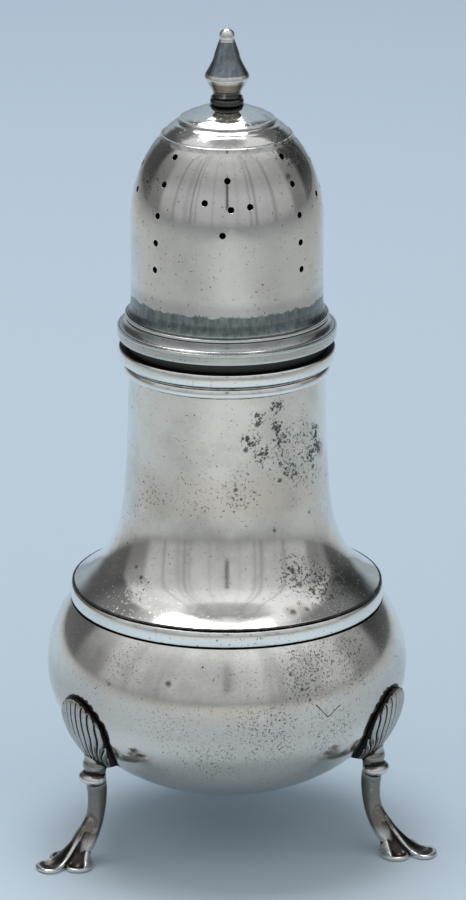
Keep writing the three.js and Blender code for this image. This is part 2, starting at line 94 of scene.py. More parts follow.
TABLE = 0.0
CLEARANCE = 0.05
BOWL_RADIUS = radius_of("bowl")
BOWL_DEPTH = 18.2
BOWL_CROWN = 18.7
BOWL_WALL = 0.6
bowl_centre = foot_of("bowl") + BOWL_DEPTH
bowl_top = top_of("bowl")
neck_base = foot_of("neck")
neck_top = top_of("neck")
collar_base = foot_of("body_collar")
collar_top = top_of("body_collar")
rim_base = foot_of("cover_rim")
rim_top = top_of("cover_rim")
dome_base = foot_of("cover_dome")
dome_radius = radius_of("cover_dome")
print(f"bowl {BOWL_RADIUS:.2f} mm in radius, dome {dome_radius:.2f} mm, cover from {rim_base:.2f} mm up")

# %% [markdown]
# ## The camera
# The photograph looks down a little at the pot through a long lens, from slightly left of the line
# between the two front legs. The camera is placed from the distances that fit the photograph, and
# aimed at a point on the axis, half way up.

# %% Set the camera
CAMERA_DISTANCE = 0.672
CAMERA_HEIGHT = 0.277
CAMERA_SIDE = math.radians(-5.3)
CAMERA_AIM = 0.0556
CAMERA_LENS = 204
CAMERA_SHIFT = 0.0067

camera_data = bpy.data.cameras.new("camera")
camera_data.lens = CAMERA_LENS
camera_data.shift_x = CAMERA_SHIFT
camera = bpy.data.objects.new("camera", camera_data)
bpy.context.scene.collection.objects.link(camera)
camera.location = (
    CAMERA_DISTANCE * math.sin(CAMERA_SIDE),
    -CAMERA_DISTANCE * math.cos(CAMERA_SIDE),
    CAMERA_HEIGHT,
)
aim = Vector((0, 0, CAMERA_AIM)) - camera.location
camera.rotation_euler = aim.to_track_quat("-Z", "Y").to_euler()
bpy.context.scene.camera = camera
print("camera looks down", round(math.degrees(math.atan2(-aim.z, CAMERA_DISTANCE)), 1), "degrees")

# %% [markdown]
# ## Turned work
# A silversmith spins the bowl, neck and dome from sheet on a lathe, and turns the wires and the
# finial. `bmesh.ops.spin` does the same: a line of points is swept round the axis. A full spin needs
# `use_merge`, so that its last step is welded to its first. Points on the axis come out once for each
# step, so they are merged too, and the normals are then made to point out.
#
# No edge on old silver is sharp. `worn` puts a short curve in the place of each corner of a profile.

# %% Helpers for turned pieces
TURN_STEPS = 192
MERGE_DISTANCE = 1e-4


def arc(centre_radius, centre_height, half_width, half_height, start, end, steps):
    """Points along an ellipse from one angle to another, in degrees."""
    angles = [math.radians(start + (end - start) * i / steps) for i in range(steps + 1)]
    return [(centre_radius + half_width * math.cos(a), centre_height + half_height * math.sin(a)) for a in angles]


def worn(corners, radius, steps=4):
    """The same profile with each inner corner worn to a curve that starts a radius before it."""
    points = [corners[0]]
    for before, corner, after in zip(corners, corners[1:], corners[2:]):
        here = Vector(corner)
        back, ahead = Vector(before) - here, Vector(after) - here
        start = here + back.normalized() * min(radius, back.length / 2)
        end = here + ahead.normalized() * min(radius, ahead.length / 2)
        for i in range(steps + 1):
            t = i / steps
            points.append(tuple(start * (1 - t) ** 2 + here * 2 * t * (1 - t) + end * t**2))
    points.append(corners[-1])
    return points


def smooth_line(points, steps):
    """Points on a smooth curve that passes through the given ones."""
    ends = [points[0], *points, points[-1]]
    line = []
    for p0, p1, p2, p3 in zip(ends, ends[1:], ends[2:], ends[3:]):
        a, b, c, d = (Vector(p) for p in (p0, p1, p2, p3))
        for i in range(steps):
            t = i / steps
            bend = (c - a) * t + (a * 2 - b * 5 + c * 4 - d) * t**2 + (b * 3 - a - c * 3 + d) * t**3
            line.append(tuple(b + bend / 2))
    return [*line, tuple(points[-1])]


def spun(profile, steps=TURN_STEPS):
    """A closed bmesh, in millimetres, of a profile of (radius, height) points spun round Z."""
    bm = bmesh.new()
    line = [bm.verts.new((radius, 0, height)) for radius, height in profile]
    edges = [bm.edges.new(pair) for pair in zip(line, line[1:])]
    bmesh.ops.spin(
        bm, geom=line + edges, cent=(0, 0, 0), axis=(0, 0, 1), angle=2 * math.pi, steps=steps, use_merge=True
    )
    bmesh.ops.remove_doubles(bm, verts=bm.verts, dist=MERGE_DISTANCE)
    bmesh.ops.recalc_face_normals(bm, faces=bm.faces)
    return bm


print("a spin has", TURN_STEPS, "steps")

# %% [markdown]
# Spun sheet is never perfectly true. After years of use it has soft dents that can't be seen
# themselves, but they bend the reflections. `dented` moves each point in by a few hundredths of a
# millimetre, in patches. It only moves points inwards, so the piece stays inside its CAD box.

# %% Helpers for dents and for finished pieces
SHARP_ANGLE = math.radians(35)
DENT_SHIFT = (17.3, 5.1, 9.7)


def dented(bm, depth, size, seed):
    """Moves the skin in by up to depth, in soft patches of about the given size."""
    bm.normal_update()
    shift = Vector([seed * step for step in DENT_SHIFT])
    for v in bm.verts:
        share = 0.5 + 0.5 * noise.noise(v.co / size + shift)
        v.co -= v.normal * depth * share
    return bm


def finished(name, bm, body, slot, *nodes):
    """Turns a bmesh in millimetres into a piece in metres that rides on a body and stands for CAD nodes."""
    bmesh.ops.scale(bm, vec=(MM, MM, MM), verts=bm.verts)
    mesh = bpy.data.meshes.new(name)
    bm.to_mesh(mesh)
    bm.free()
    mesh.shade_smooth()
    mesh.set_sharp_from_angle(angle=SHARP_ANGLE)
    piece = bpy.data.objects.new(name, mesh)
    bpy.context.scene.collection.objects.link(piece)
    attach(piece, body)
    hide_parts(*nodes)
    triangles = sum(len(face.vertices) - 2 for face in mesh.polygons)
    print(f"{name}: {triangles} triangles")
    return piece


# %% [markdown]
# ## The bowl
# The bowl is two half spheroids that meet at the widest line. It is raised from sheet 0.6 mm thick,
# so the profile runs from the middle of the bottom up the outside, over the edge and down the inside.
# Its top edge is hidden under the shoulder band. It is spun in finer steps than the rest, because it
# carries the narrow line of tarnish round each leg.

# %% Spin the bowl
BOWL_STEPS = 384


def bowl_radius_at(height):
    """Outer radius of the bowl at a height."""
    half = BOWL_DEPTH if height < bowl_centre else BOWL_CROWN
    return BOWL_RADIUS * math.sqrt(max(0.0, 1 - ((height - bowl_centre) / half) ** 2))


def bowl_profile():
    cut = bowl_top - bowl_centre
    inner, inner_depth, inner_crown = (size - BOWL_WALL for size in (BOWL_RADIUS, BOWL_DEPTH, BOWL_CROWN))
    edge = math.degrees(math.asin(cut / BOWL_CROWN))
    inner_edge = math.degrees(math.asin(cut / inner_crown))
    below = arc(0, bowl_centre, BOWL_RADIUS, BOWL_DEPTH, -90, 0, steps=100)
    above = arc(0, bowl_centre, BOWL_RADIUS, BOWL_CROWN, 0, edge, steps=30)
    inside_above = arc(0, bowl_centre, inner, inner_crown, inner_edge, 0, steps=8)
    inside_below = arc(0, bowl_centre, inner, inner_depth, 0, -90, steps=24)
    return [*below, *above[1:], *inside_above, *inside_below[1:]]


bowl_mesh = dented(spun(bowl_profile(), BOWL_STEPS), depth=0.035, size=9, seed=1)
bowl = finished("raised_bowl", bowl_mesh, "pot", "body_silver", "bowl")

# %% [markdown]
# ## The shoulder band
# A half-round wire hides the joint between bowl and neck. A fine line is cut on each side of it, and
# those two lines stay dark, because a polishing cloth doesn't reach into them.

# %% Spin the shoulder band
BAND_BULGE = 0.3
BAND_PROUD = 0.05
BAND_WIDTH = 1.5
BAND_CREASE = 0.12

band_radius = bowl_radius_at(bowl_top)
band_bore = band_radius - BAND_WIDTH


def band_profile():
    middle = (bowl_top + neck_base) / 2
    half = (neck_base - bowl_top) / 2
    inner = band_radius - BAND_BULGE
    wire = arc(inner, middle, BAND_BULGE + BAND_PROUD, half - BAND_CREASE, -90, 90, steps=16)
    crease = inner - BAND_CREASE
    low = [(band_bore, bowl_top), (crease, bowl_top)]
    high = [(crease, neck_base), (band_bore, neck_base), (band_bore, bowl_top)]
    return [*low, *wire, *high]


band = finished("shoulder_wire", spun(band_profile()), "pot", "body_silver", "shoulder_band")

# %% [markdown]
# ## The neck
# The neck is one spun piece: a pipe with a faint swell that flares out to the band. A few points at
# shares of the flare's spread and height are enough, because a smooth curve runs through them. The
# inner wall is the same line moved in by the thickness of the sheet.

# %% Spin the neck
NECK_STEPS = 256
NECK_WALL = 0.6
NECK_SWELL = 0.7
NECK_FLARE_HEIGHT = 13.3
NECK_LEDGE = 0.15
MOUTH_RADIUS = 13.6
FLARE_SHARES = [(1, 0), (0.66, 0.135), (0.36, 0.31), (0.12, 0.61)]
PIPE_SHARES = [(1, 0), (0.3, 0.52), (0, 1)]
FOOT_ROUND = 0.3
FOOT_INSIDE = 0.5
NECK_CURVE_STEPS = 14

neck_bore = MOUTH_RADIUS - NECK_WALL
flare_radius = band_radius - NECK_LEDGE


def neck_profile():
    pipe_radius = MOUTH_RADIUS + NECK_SWELL
    pipe_base = neck_base + NECK_FLARE_HEIGHT
    flare = [
        (pipe_radius + (flare_radius - pipe_radius) * out, neck_base + NECK_FLARE_HEIGHT * up)
        for out, up in FLARE_SHARES
    ]
    pipe = [
        (MOUTH_RADIUS + NECK_SWELL * out, pipe_base + (collar_base - pipe_base) * up)
        for out, up in PIPE_SHARES
    ]
    line = smooth_line([*flare, *pipe], NECK_CURVE_STEPS)
    foot = [(flare_radius - FOOT_ROUND, neck_base), (flare_radius, neck_base + FOOT_ROUND / 2)]
    outside = [*worn([*foot, *line[2:4]], FOOT_ROUND), *line[4:], (MOUTH_RADIUS, neck_top)]
    inside = []
    for before, here, after in zip(line, line[1:], line[2:]):
        along = (Vector(after) - Vector(before)).normalized()
        inside.append((here[0] - NECK_WALL * along.y, here[1] + NECK_WALL * along.x))
    inner_foot = (inside[1][0], neck_base)
    inside = [point for point in inside if point[1] > neck_base + FOOT_INSIDE]
    return [*outside, (neck_bore, neck_top), *reversed(inside), inner_foot, outside[0]]


neck_mesh = dented(spun(neck_profile(), NECK_STEPS), depth=0.03, size=8, seed=2)
neck = finished("spun_neck", neck_mesh, "pot", "body_silver", "neck")

# %% [markdown]
# ## The collar and the rim
# Both are moulded wires. The collar, round the mouth of the neck, is a plain band over a groove and a
# thin fillet. The rim, round the foot of the cover, has a ridge, a cove and a second, smaller ridge,
# and then sweeps up to the dome. Inside it has a ledge that carries the dome, and a recess for the
# flange of the sleeve.

# %% Spin the collar
EDGE = 0.15
COLLAR_WEAR = 0.28
COLLAR_BAND_HEIGHT = 1.75
COLLAR_GROOVE_WIDTH = 0.5
COLLAR_FILLET_HEIGHT = 1.05
COLLAR_FILLET_WIDTH = 0.8
COLLAR_CROWN = 0.12


def collar_profile():
    band_base = collar_top - COLLAR_BAND_HEIGHT
    fillet_top = collar_base + COLLAR_FILLET_HEIGHT
    bore = MOUTH_RADIUS + CLEARANCE
    edge = radius_of("body_collar")
    groove = MOUTH_RADIUS + COLLAR_GROOVE_WIDTH
    fillet = MOUTH_RADIUS + COLLAR_FILLET_WIDTH
    outside = [
        (bore, collar_base),
        (fillet - EDGE, collar_base),
        (fillet, (collar_base + fillet_top) / 2),
        (fillet - EDGE, fillet_top),
        (groove, fillet_top + EDGE),
        (groove, band_base - EDGE),
        (edge - COLLAR_CROWN, band_base),
        (edge, (band_base + collar_top) / 2),
        (edge - COLLAR_CROWN, collar_top),
        (neck_bore + EDGE, collar_top),
        (neck_bore, collar_top - EDGE),
        (neck_bore, neck_top),
    ]
    return [*worn(outside, COLLAR_WEAR), (bore, neck_top), (bore, collar_base)]


collar_mesh = dented(spun(collar_profile()), depth=0.015, size=6, seed=3)
collar = finished("mouth_wire", collar_mesh, "pot", "body_silver", "body_collar")

# %% Spin the rim
RIM_WEAR = 0.1
RIM_FACE_HEIGHT = 1.6
RIM_COVE_HEIGHT = 1.6
RIM_COVE_DEPTH = 1.15
RIM_LEDGE = 1.0
RIM_RIDGE = 0.16
RIM_FACE_FOOT = [(-0.03, 0.3)]
RIM_FACE_TOP = [(-0.06, -0.5), (0, -0.3), (0, -0.05)]
RIM_COVE_PLACE = (-0.2, -0.3)
RIM_COVE_SPARE = (0.25, 0.35)
RIM_COVE_ANGLES = (262, 188)
RIM_RIDGE_LINE = [(-0.05, -0.28), (0.08, -0.2), (0.1, 0.1), (-0.2, 0.22)]
RIM_SWEEP_GAP = 0.002
RIM_SWEEP_START = 0.3
RIM_SWEEP_ANGLES = (245, 183)
SLEEVE_WALL = 0.55
SLEEVE_PLAY = 0.1
FLANGE_WIDTH = 0.9

sleeve_bore = neck_bore - SLEEVE_PLAY - SLEEVE_WALL
flange_radius = neck_bore + FLANGE_WIDTH
ledge_base = dome_base - RIM_LEDGE
rim_ridge = rim_base + RIM_FACE_HEIGHT + RIM_COVE_HEIGHT


def placed(points, radius, height):
    """Points of a profile that are given from a place on it."""
    return [(radius + out, height + up) for out, up in points]


def rim_profile():
    edge = radius_of("cover_rim")
    foot = edge - RIM_COVE_DEPTH
    face_top = rim_base + RIM_FACE_HEIGHT
    socket = dome_radius + CLEARANCE
    recess = flange_radius + CLEARANCE
    lower = [
        (recess, rim_base),
        (edge - EDGE, rim_base),
        *placed(RIM_FACE_FOOT, edge, rim_base),
        *placed(RIM_FACE_TOP, edge, face_top),
        (edge - RIM_RIDGE * 2, face_top),
    ]
    cove_size = (RIM_COVE_DEPTH - RIM_COVE_SPARE[0], RIM_COVE_HEIGHT - RIM_COVE_SPARE[1])
    cove_middle = placed([RIM_COVE_PLACE], edge, rim_ridge)[0]
    cove = arc(*cove_middle, *cove_size, *RIM_COVE_ANGLES, steps=10)
    upper = placed(RIM_RIDGE_LINE, foot, rim_ridge)
    sweep_size = (foot - dome_radius - RIM_SWEEP_GAP, rim_top - rim_ridge - RIM_SWEEP_START)
    sweep = arc(foot, rim_top, *sweep_size, *RIM_SWEEP_ANGLES, steps=10)
    inside = [(socket, dome_base), (sleeve_bore, dome_base), (sleeve_bore, ledge_base), (recess, ledge_base)]
    return [*worn([*lower, *cove, *upper, *sweep], RIM_WEAR), *inside, (recess, rim_base)]


rim_mesh = dented(spun(rim_profile()), depth=0.02, size=5, seed=4)
rim = finished("rim_wire", rim_mesh, "cover", "tarnished_silver", "cover_rim")

# %% [markdown]
# ## The sleeve
# The sleeve slides into the mouth of the neck and holds the cover on by friction. Only its flange
# shows, in the dark gap over the collar, until the cover is lifted off. A ring half a millimetre below
# the flange ends the black of the gap there, which is partly dirt and partly painted shade, and the
# rest of the sleeve is plain silver.

# %% Spin the sleeve
SLEEVE_WEAR = 0.06
SLEEVE_DARK = 0.5


def sleeve_profile():
    foot = foot_of("cover_sleeve")
    outer = neck_bore - SLEEVE_PLAY
    corners = [
        (sleeve_bore, foot),
        (outer - EDGE, foot),
        (outer, foot + 2 * EDGE),
        (outer, collar_top - SLEEVE_DARK),
        (outer, collar_top),
        (flange_radius, collar_top),
        (flange_radius, ledge_base),
        (sleeve_bore, ledge_base),
    ]
    return [*worn(corners, SLEEVE_WEAR), (sleeve_bore, foot)]


sleeve = finished("slip_sleeve", spun(sleeve_profile()), "cover", "tarnished_silver", "cover_sleeve")

# %% [markdown]
# ## The dome
# The dome is spun from sheet like the bowl: straight sides, then a half ellipse. Two fine steps are
# turned into its crown. Each step rises by a third of a millimetre, which is enough to catch a bright
# line of light with a dark one under it. The straight side gets a ring of points every half
# millimetre, so that the holes cut later don't leave long thin faces that would shade badly.

# %% Spin the dome
DOME_WALL = 0.6
DOME_SIDE_HEIGHT = 14.5
DOME_SIDE_RINGS = 29
DOME_RISE = 16.2
DOME_LAND_DROP = 0.2
DOME_STEPS = 240
CROWN_STEPS = (8.9, 6.4)
STEP_RISE = 0.34
STEP_RUN = 0.2
STEP_WEAR = 0.12
BROW_GAP = 0.9
INSIDE_UP_TO = 86
PEG_RADIUS = 0.95
FINIAL_FOOT_RADIUS = 2.31

dome_spring = dome_base + DOME_SIDE_HEIGHT
dome_land = dome_spring + DOME_RISE - DOME_LAND_DROP


def dome_height_at(radius):
    return dome_spring + DOME_RISE * math.sqrt(max(0.0, 1 - (radius / dome_radius) ** 2))


def crown_line(outer, inner, steps):
    """Points on the dome from one radius to a smaller one."""
    radii = [outer + (inner - outer) * i / steps for i in range(steps + 1)]
    return [(r, dome_height_at(r)) for r in radii]


def dome_profile():
    lower, upper = CROWN_STEPS
    brow = math.degrees(math.acos((lower + BROW_GAP) / dome_radius))
    side = [(dome_radius, dome_base + DOME_SIDE_HEIGHT * i / DOME_SIDE_RINGS) for i in range(DOME_SIDE_RINGS)]
    outside = [*side, *arc(0, dome_spring, dome_radius, DOME_RISE, 0, brow, steps=40)]
    for radius, following in ((lower, upper), (upper, FINIAL_FOOT_RADIUS)):
        height = dome_height_at(radius)
        outside += worn(
            [
                outside[-1],
                (radius + STEP_RUN * 2, dome_height_at(radius + STEP_RUN * 2) - STEP_RISE * 0.3),
                (radius + STEP_RUN, height - STEP_RISE * 0.55),
                (radius + STEP_RUN * 0.6, height + STEP_RISE * 0.35),
                (radius - STEP_RUN, height + STEP_RISE * 0.6),
                (radius - STEP_RUN * 5, dome_height_at(radius - STEP_RUN * 5) + STEP_RISE * 0.3),
            ],
            STEP_WEAR,
        )[1:]
        outside += crown_line(radius - STEP_RUN * 7, following + STEP_RUN * 4, steps=8)
    inside = arc(0, dome_spring, dome_radius - DOME_WALL, DOME_RISE - DOME_WALL, INSIDE_UP_TO, 0, steps=30)
    peg_hole = PEG_RADIUS + CLEARANCE
    land = [(FINIAL_FOOT_RADIUS, dome_land), (peg_hole, dome_land), (peg_hole, inside[0][1])]
    return [*outside, *land, *inside, (dome_radius - DOME_WALL, dome_base), (dome_radius, dome_base)]


dome_mesh = dented(spun(dome_profile(), DOME_STEPS), depth=0.025, size=9, seed=5)
print("dome has", len(dome_mesh.faces), "faces before it is pierced")

# %% [markdown]
# ## Piercing
# The holes are drilled in upright rows of five, with a cross of five holes between each two rows.
# The drill slipped a little each time, because the work was done by hand: `ROW_SLIPS` and
# `CROSS_SLIPS` hold how far, in degrees round the dome and millimetres up. The two rows and the cross
# at the front slipped as in the photograph, and the others by a seeded draw.
#
# All drills are one mesh, and one Boolean modifier cuts them out of the dome. The modifier is applied
# at once, so that nothing live is left on the piece.

# %% Place the holes
COVER_TURN = -4.5
ROW_ANGLE = 49
ROW_HEIGHTS = (9.8, 13.6, 17.4, 21.6, 25.1)
ROW_SLIPS = {-ROW_ANGLE: (0.7, 1.5, 2.2, 2.8, 3.8), ROW_ANGLE: (0, -0.9, -0.9, -1.9, -2.2)}
CROSS_HEIGHT = 19.2
CROSS_ARM_RISE = 3.7
CROSS_ARM_ANGLE = 14.7
CROSS = {"bottom": (0, -1), "centre": (0, 0), "top": (0, 1), "left": (-1, 0), "right": (1, 0)}
CROSS_SLIPS = {
    "bottom": (-3.4, 0.25),
    "centre": (1.7, 0),
    "top": (-0.5, 0),
    "left": (0, 0.8),
    "right": (-1.1, 0.3),
}
HAND_SLIP = (1.2, 0.2)
HAND_SEED = 7

rng = np.random.default_rng(HAND_SEED)


def hand_slip():
    return tuple(float(value) for value in rng.normal(0, HAND_SLIP))


def hole_places():
    """The angle and the height of each hole, in degrees and in millimetres."""
    places = []
    for row in (-ROW_ANGLE, ROW_ANGLE, 180 - ROW_ANGLE, 180 + ROW_ANGLE):
        for i, height in enumerate(ROW_HEIGHTS):
            aside, up = (ROW_SLIPS[row][i], 0) if row in ROW_SLIPS else hand_slip()
            places.append((row + aside, height + up))
    for face in (0, 90, 180, 270):
        for name, (side, step) in CROSS.items():
            aside, up = CROSS_SLIPS[name] if face == 0 else hand_slip()
            places.append((face + CROSS_ARM_ANGLE * side + aside, CROSS_HEIGHT + CROSS_ARM_RISE * step + up))
    return [(angle + COVER_TURN, dome_base + height) for angle, height in places]


holes = hole_places()
print("holes:", len(holes))

# %% Grind the drills
HOLE_RADIUS = 0.45
HOLE_BEVEL = 0.03
HOLE_SHADE = 0.12
DRILL_SIDES = 24
DRILL_REACH = 2.4
DRILL_STAND = 1


def drill(angle, height):
    """One drill with its point inwards along +Y, moved to its place on the dome."""
    rise = max(0.0, height - dome_spring)
    radius = dome_radius * math.sqrt(1 - (rise / DOME_RISE) ** 2)
    slope = math.atan2(rise / DOME_RISE**2, radius / dome_radius**2)
    head = HOLE_RADIUS + 2 * HOLE_BEVEL
    point = [(0, -DRILL_REACH), (HOLE_RADIUS, -DRILL_REACH)]
    side = [(HOLE_RADIUS, -HOLE_SHADE), (HOLE_RADIUS, -HOLE_BEVEL), (head, HOLE_BEVEL)]
    bit = spun([*point, *side, (head, DRILL_STAND), (0, DRILL_STAND)], DRILL_SIDES)
    turn = Matrix.Rotation(math.radians(angle), 4, "Z")
    lift = Matrix.Translation((0, -radius, height)) @ Matrix.Rotation(math.radians(90) - slope, 4, "X")
    bmesh.ops.transform(bit, matrix=turn @ lift, verts=bit.verts)
    return bit


def joined(forms):
    """One bmesh that holds all the given ones. They are freed."""
    whole = bmesh.new()
    for form in forms:
        part = bpy.data.meshes.new("part")
        form.to_mesh(part)
        form.free()
        whole.from_mesh(part)
        bpy.data.meshes.remove(part)
    return whole


drills = joined([drill(angle, height) for angle, height in holes])
print("drills have", len(drills.faces), "faces")


# %% Pierce the dome
def shown(name, bm):
    """A plain object of a bmesh in millimetres, for a modifier to work on."""
    mesh = bpy.data.meshes.new(name)
    bm.to_mesh(mesh)
    bm.free()
    helper = bpy.data.objects.new(name, mesh)
    bpy.context.scene.collection.objects.link(helper)
    return helper


def applied(helper):
    """A bmesh of an object with its modifiers applied. The object is removed."""
    bm = bmesh.new()
    bm.from_object(helper, bpy.context.evaluated_depsgraph_get())
    bpy.data.objects.remove(helper)
    return bm


dome_blank = shown("dome_blank", dome_mesh)
drill_set = shown("drill_set", drills)
cut = dome_blank.modifiers.new("pierce", "BOOLEAN")
cut.operation = "DIFFERENCE"
cut.solver = "EXACT"
cut.object = drill_set
pierced = applied(dome_blank)
bpy.data.objects.remove(drill_set)
dome = finished("pierced_dome", pierced, "cover", "cover_silver", "cover_dome")

# %% [markdown]
# ## The finial
# The finial is turned from a rod: a round foot, a waist, a cone with a soft lower edge, and a ball.
# A peg under it goes through the crown and was riveted there.

# %% Spin the finial
FINIAL_STEPS = 96
FINIAL_ROUND = 0.5
FINIAL_FOOT_HEIGHT = 1.15
FINIAL_WAIST_RADIUS = 1.85
FINIAL_WAIST_RISE = 2.5
FINIAL_WAIST_MIDDLE = 1.75
FINIAL_WAIST_HALF_HEIGHT = 0.55
FINIAL_BROW_FOOT = 0.33
FINIAL_BROW_TOP = (-0.25, -0.4)
FINIAL_CONE_RADIUS = 3.07
FINIAL_CONE_BASE_RISE = 3.9
FINIAL_CONE_HEIGHT = 5.35
FINIAL_NECK_RADIUS = 1.0
FINIAL_BALL_RADIUS = 1.07
PEG_LENGTH = 1.0
CONE_SHARES = [(1, 0), (0.95, 0.09), (0.7, 0.26), (0.45, 0.46), (0.3, 0.66), (0, 1)]

cone_base = dome_land + FINIAL_CONE_BASE_RISE
cone_top = cone_base + FINIAL_CONE_HEIGHT


def finial_profile():
    taper = FINIAL_CONE_RADIUS - FINIAL_NECK_RADIUS
    foot_middle = dome_land + FINIAL_FOOT_HEIGHT / 2
    waist_top = dome_land + FINIAL_WAIST_RISE
    foot = arc(
        FINIAL_FOOT_RADIUS - FINIAL_ROUND, foot_middle, FINIAL_ROUND, FINIAL_FOOT_HEIGHT / 2, -90, 80, steps=12
    )
    waist_middle = (FINIAL_WAIST_RADIUS + FINIAL_ROUND, dome_land + FINIAL_WAIST_MIDDLE)
    waist = arc(*waist_middle, FINIAL_ROUND, FINIAL_WAIST_HALF_HEIGHT, 250, 125, steps=10)
    brow_foot = (FINIAL_WAIST_RADIUS + FINIAL_BROW_FOOT, waist_top)
    brow = [brow_foot, *placed([FINIAL_BROW_TOP], FINIAL_CONE_RADIUS, cone_base)]
    cone_line = [
        (FINIAL_NECK_RADIUS + taper * out, cone_base + FINIAL_CONE_HEIGHT * up) for out, up in CONE_SHARES
    ]
    neck_angle = -math.degrees(math.acos(FINIAL_NECK_RADIUS / FINIAL_BALL_RADIUS))
    ball_rise = math.sqrt(FINIAL_BALL_RADIUS**2 - FINIAL_NECK_RADIUS**2)
    ball = arc(0, cone_top + ball_rise, FINIAL_BALL_RADIUS, FINIAL_BALL_RADIUS, neck_angle, 90, steps=20)
    peg = [(0, dome_land - PEG_LENGTH), (PEG_RADIUS, dome_land - PEG_LENGTH), (PEG_RADIUS, dome_land)]
    side = smooth_line([*brow, *cone_line], steps=6)
    return [*peg, *foot, *waist, *side, *ball[1:]]


finial_mesh = spun(finial_profile(), FINIAL_STEPS)
finial = finished("turned_finial", finial_mesh, "cover", "tarnished_silver", "finial")

# %% [markdown]
# ## The cast legs
# Each leg is one casting: a ribbed shell that is soldered to the bowl, a rolled knop, a slim stem and
# a foot with three toes. Cast forms run into each other, so the parts are modelled apart, joined by a
# voxel remesh and smoothed a little. The leg is built facing the front, at its distance from the
# pot's axis, and is turned to its place at the end.
#
# The shell starts as a flat grid. Its points are moved on to the bowl by a formula: ribs spread from
# the base like the veins of a leaf and end along its outline, which bulges at the end of each rib. An
# extrusion gives it a back, which lies on the bowl. `across` goes from -1 to 1 over the shell's width,
# and `up` from 0 at its base to 1 at its top. A high power of one of them keeps a change near the edge.

# %% Measure the shell of a leg
SHELL_COLUMNS = 120
SHELL_ROWS = 140
SHELL_TOP_DROP = 0.8
SHELL_BASE_DROP = 11.2
SHELL_WIDTHS = [(0.0, 2.0), (0.2, 3.4), (0.4, 4.4), (0.6, 4.8), (0.8, 4.7), (1.0, 4.0)]
SHELL_BASE_THICKNESS = 2.4
SHELL_TOP_THICKNESS = 1.1
SHELL_TOP_SHARE = 0.2
SHELL_EDGE_SHARE = 0.35
RIB_PITCH = 1.12
RIB_DEPTH = 0.55
RIB_SCALLOP = 0.22
RIB_CLOSING = 0.3
RIB_SPREAD = (-0.05, 0.6)
RIB_START = (0.0, 0.12)
SCALLOP_START = (0.0, 0.3)
SHELL_ROLL = 0.2


def share_of(value, low, high):
    """How far a value is from low to high, eased at both ends."""
    t = min(1.0, max(0.0, (value - low) / (high - low)))
    return t * t * (3 - 2 * t)


def on_leg(radius, side, height):
    """A point of a leg that faces the front."""
    return Vector((side, -radius, height))


def shell_half_width(up):
    for (low, narrow), (high, wide) in zip(SHELL_WIDTHS, SHELL_WIDTHS[1:]):
        if up <= high:
            return narrow + (wide - narrow) * (up - low) / (high - low)
    return SHELL_WIDTHS[-1][1]


def rib_at(side, up):
    """1 on the crown of a rib and 0 in the groove between two."""
    pitch = RIB_PITCH * (RIB_CLOSING + (1 - RIB_CLOSING) * share_of(up, *RIB_SPREAD))
    return abs(math.cos(math.pi * side / pitch))


print("ribs are", RIB_PITCH, "mm apart at the top")


# %% Shape the shell
def shell_point(across, up, proud):
    """A point of the front of the shell if it is proud, and otherwise of its back."""
    side = across * shell_half_width(up)
    rib = rib_at(side, up)
    side += across**7 * RIB_SCALLOP * rib * share_of(up, *SCALLOP_START)
    rise = up * (1 - SHELL_TOP_SHARE * across**2 * up**2)
    drop = SHELL_TOP_DROP * rise + SHELL_BASE_DROP * (1 - rise)
    height = bowl_centre - drop + RIB_SCALLOP * rib * up**8
    radius = bowl_radius_at(height)
    thickness = SHELL_BASE_THICKNESS + (SHELL_TOP_THICKNESS - SHELL_BASE_THICKNESS) * up
    angle = side / (radius + thickness)
    if proud:
        groove = RIB_DEPTH * (1 - rib**0.5) * share_of(up, *RIB_START)
        roll = SHELL_ROLL * thickness * max(across**12, up**24)
        radius += thickness * (1 - SHELL_EDGE_SHARE * across**2) - groove - roll
    return on_leg(radius * math.cos(angle), radius * math.sin(angle), height)


def leg_shell():
    bm = bmesh.new()
    front = bmesh.ops.create_grid(bm, x_segments=SHELL_COLUMNS, y_segments=SHELL_ROWS, size=1)["verts"]
    made = bmesh.ops.extrude_face_region(bm, geom=bm.faces[:], use_keep_orig=True)["geom"]
    back = [v for v in made if isinstance(v, bmesh.types.BMVert)]
    for points, proud in ((front, True), (back, False)):
        for v in points:
            v.co = shell_point(v.co.x, (v.co.y + 1) / 2, proud)
    bmesh.ops.recalc_face_normals(bm, faces=bm.faces)
    return bm


trial_shell = leg_shell()
print("a leg's shell starts with", len(trial_shell.faces), "faces")
trial_shell.free()

# %% [markdown]
# The stem and the foot are lofts. A loft starts as one capped circle, whose rim is extruded again and
# again. After each extrusion the new rim is moved to its own outline, so each point keeps its
# neighbours, and nothing can twist. Each of the `STEM_SECTIONS` says how far the stem's middle stands
# out from the knop's, and half its thickness outwards and sideways. The knop is a wide flat roll with
# a narrower swelling over it.

# %% Shape the knop and the stem
KNOP_DROP = 11.9
KNOP_STAND_OFF = 4.1
KNOP_ROLL = {"half_size": (2.25, 1.8, 1.0), "in": 0.25, "down": 0.9}
KNOP_SWELLING = {"half_size": (1.9, 1.5, 1.3), "in": 0.6, "down": -0.9}
STEM_SIDES = 32
STEM_CURVE_STEPS = 6
STEM_HEIGHT_SHARES = [0.1, 0.21, 0.34, 0.48, 0.64, 0.8, 1, 1.2]
STEM_SECTIONS = [
    (2.6, 0.8, 1.7),
    (1.4, 1.35, 2.0),
    (0.2, 1.35, 1.6),
    (-0.65, 1.25, 1.3),
    (-1.0, 1.3, 1.3),
    (-1.0, 1.4, 1.45),
    (-0.7, 1.5, 1.6),
    (-1.2, 1.8, 2.0),
]

knop_height = bowl_centre - KNOP_DROP
knop_radius = bowl_radius_at(knop_height) + KNOP_STAND_OFF


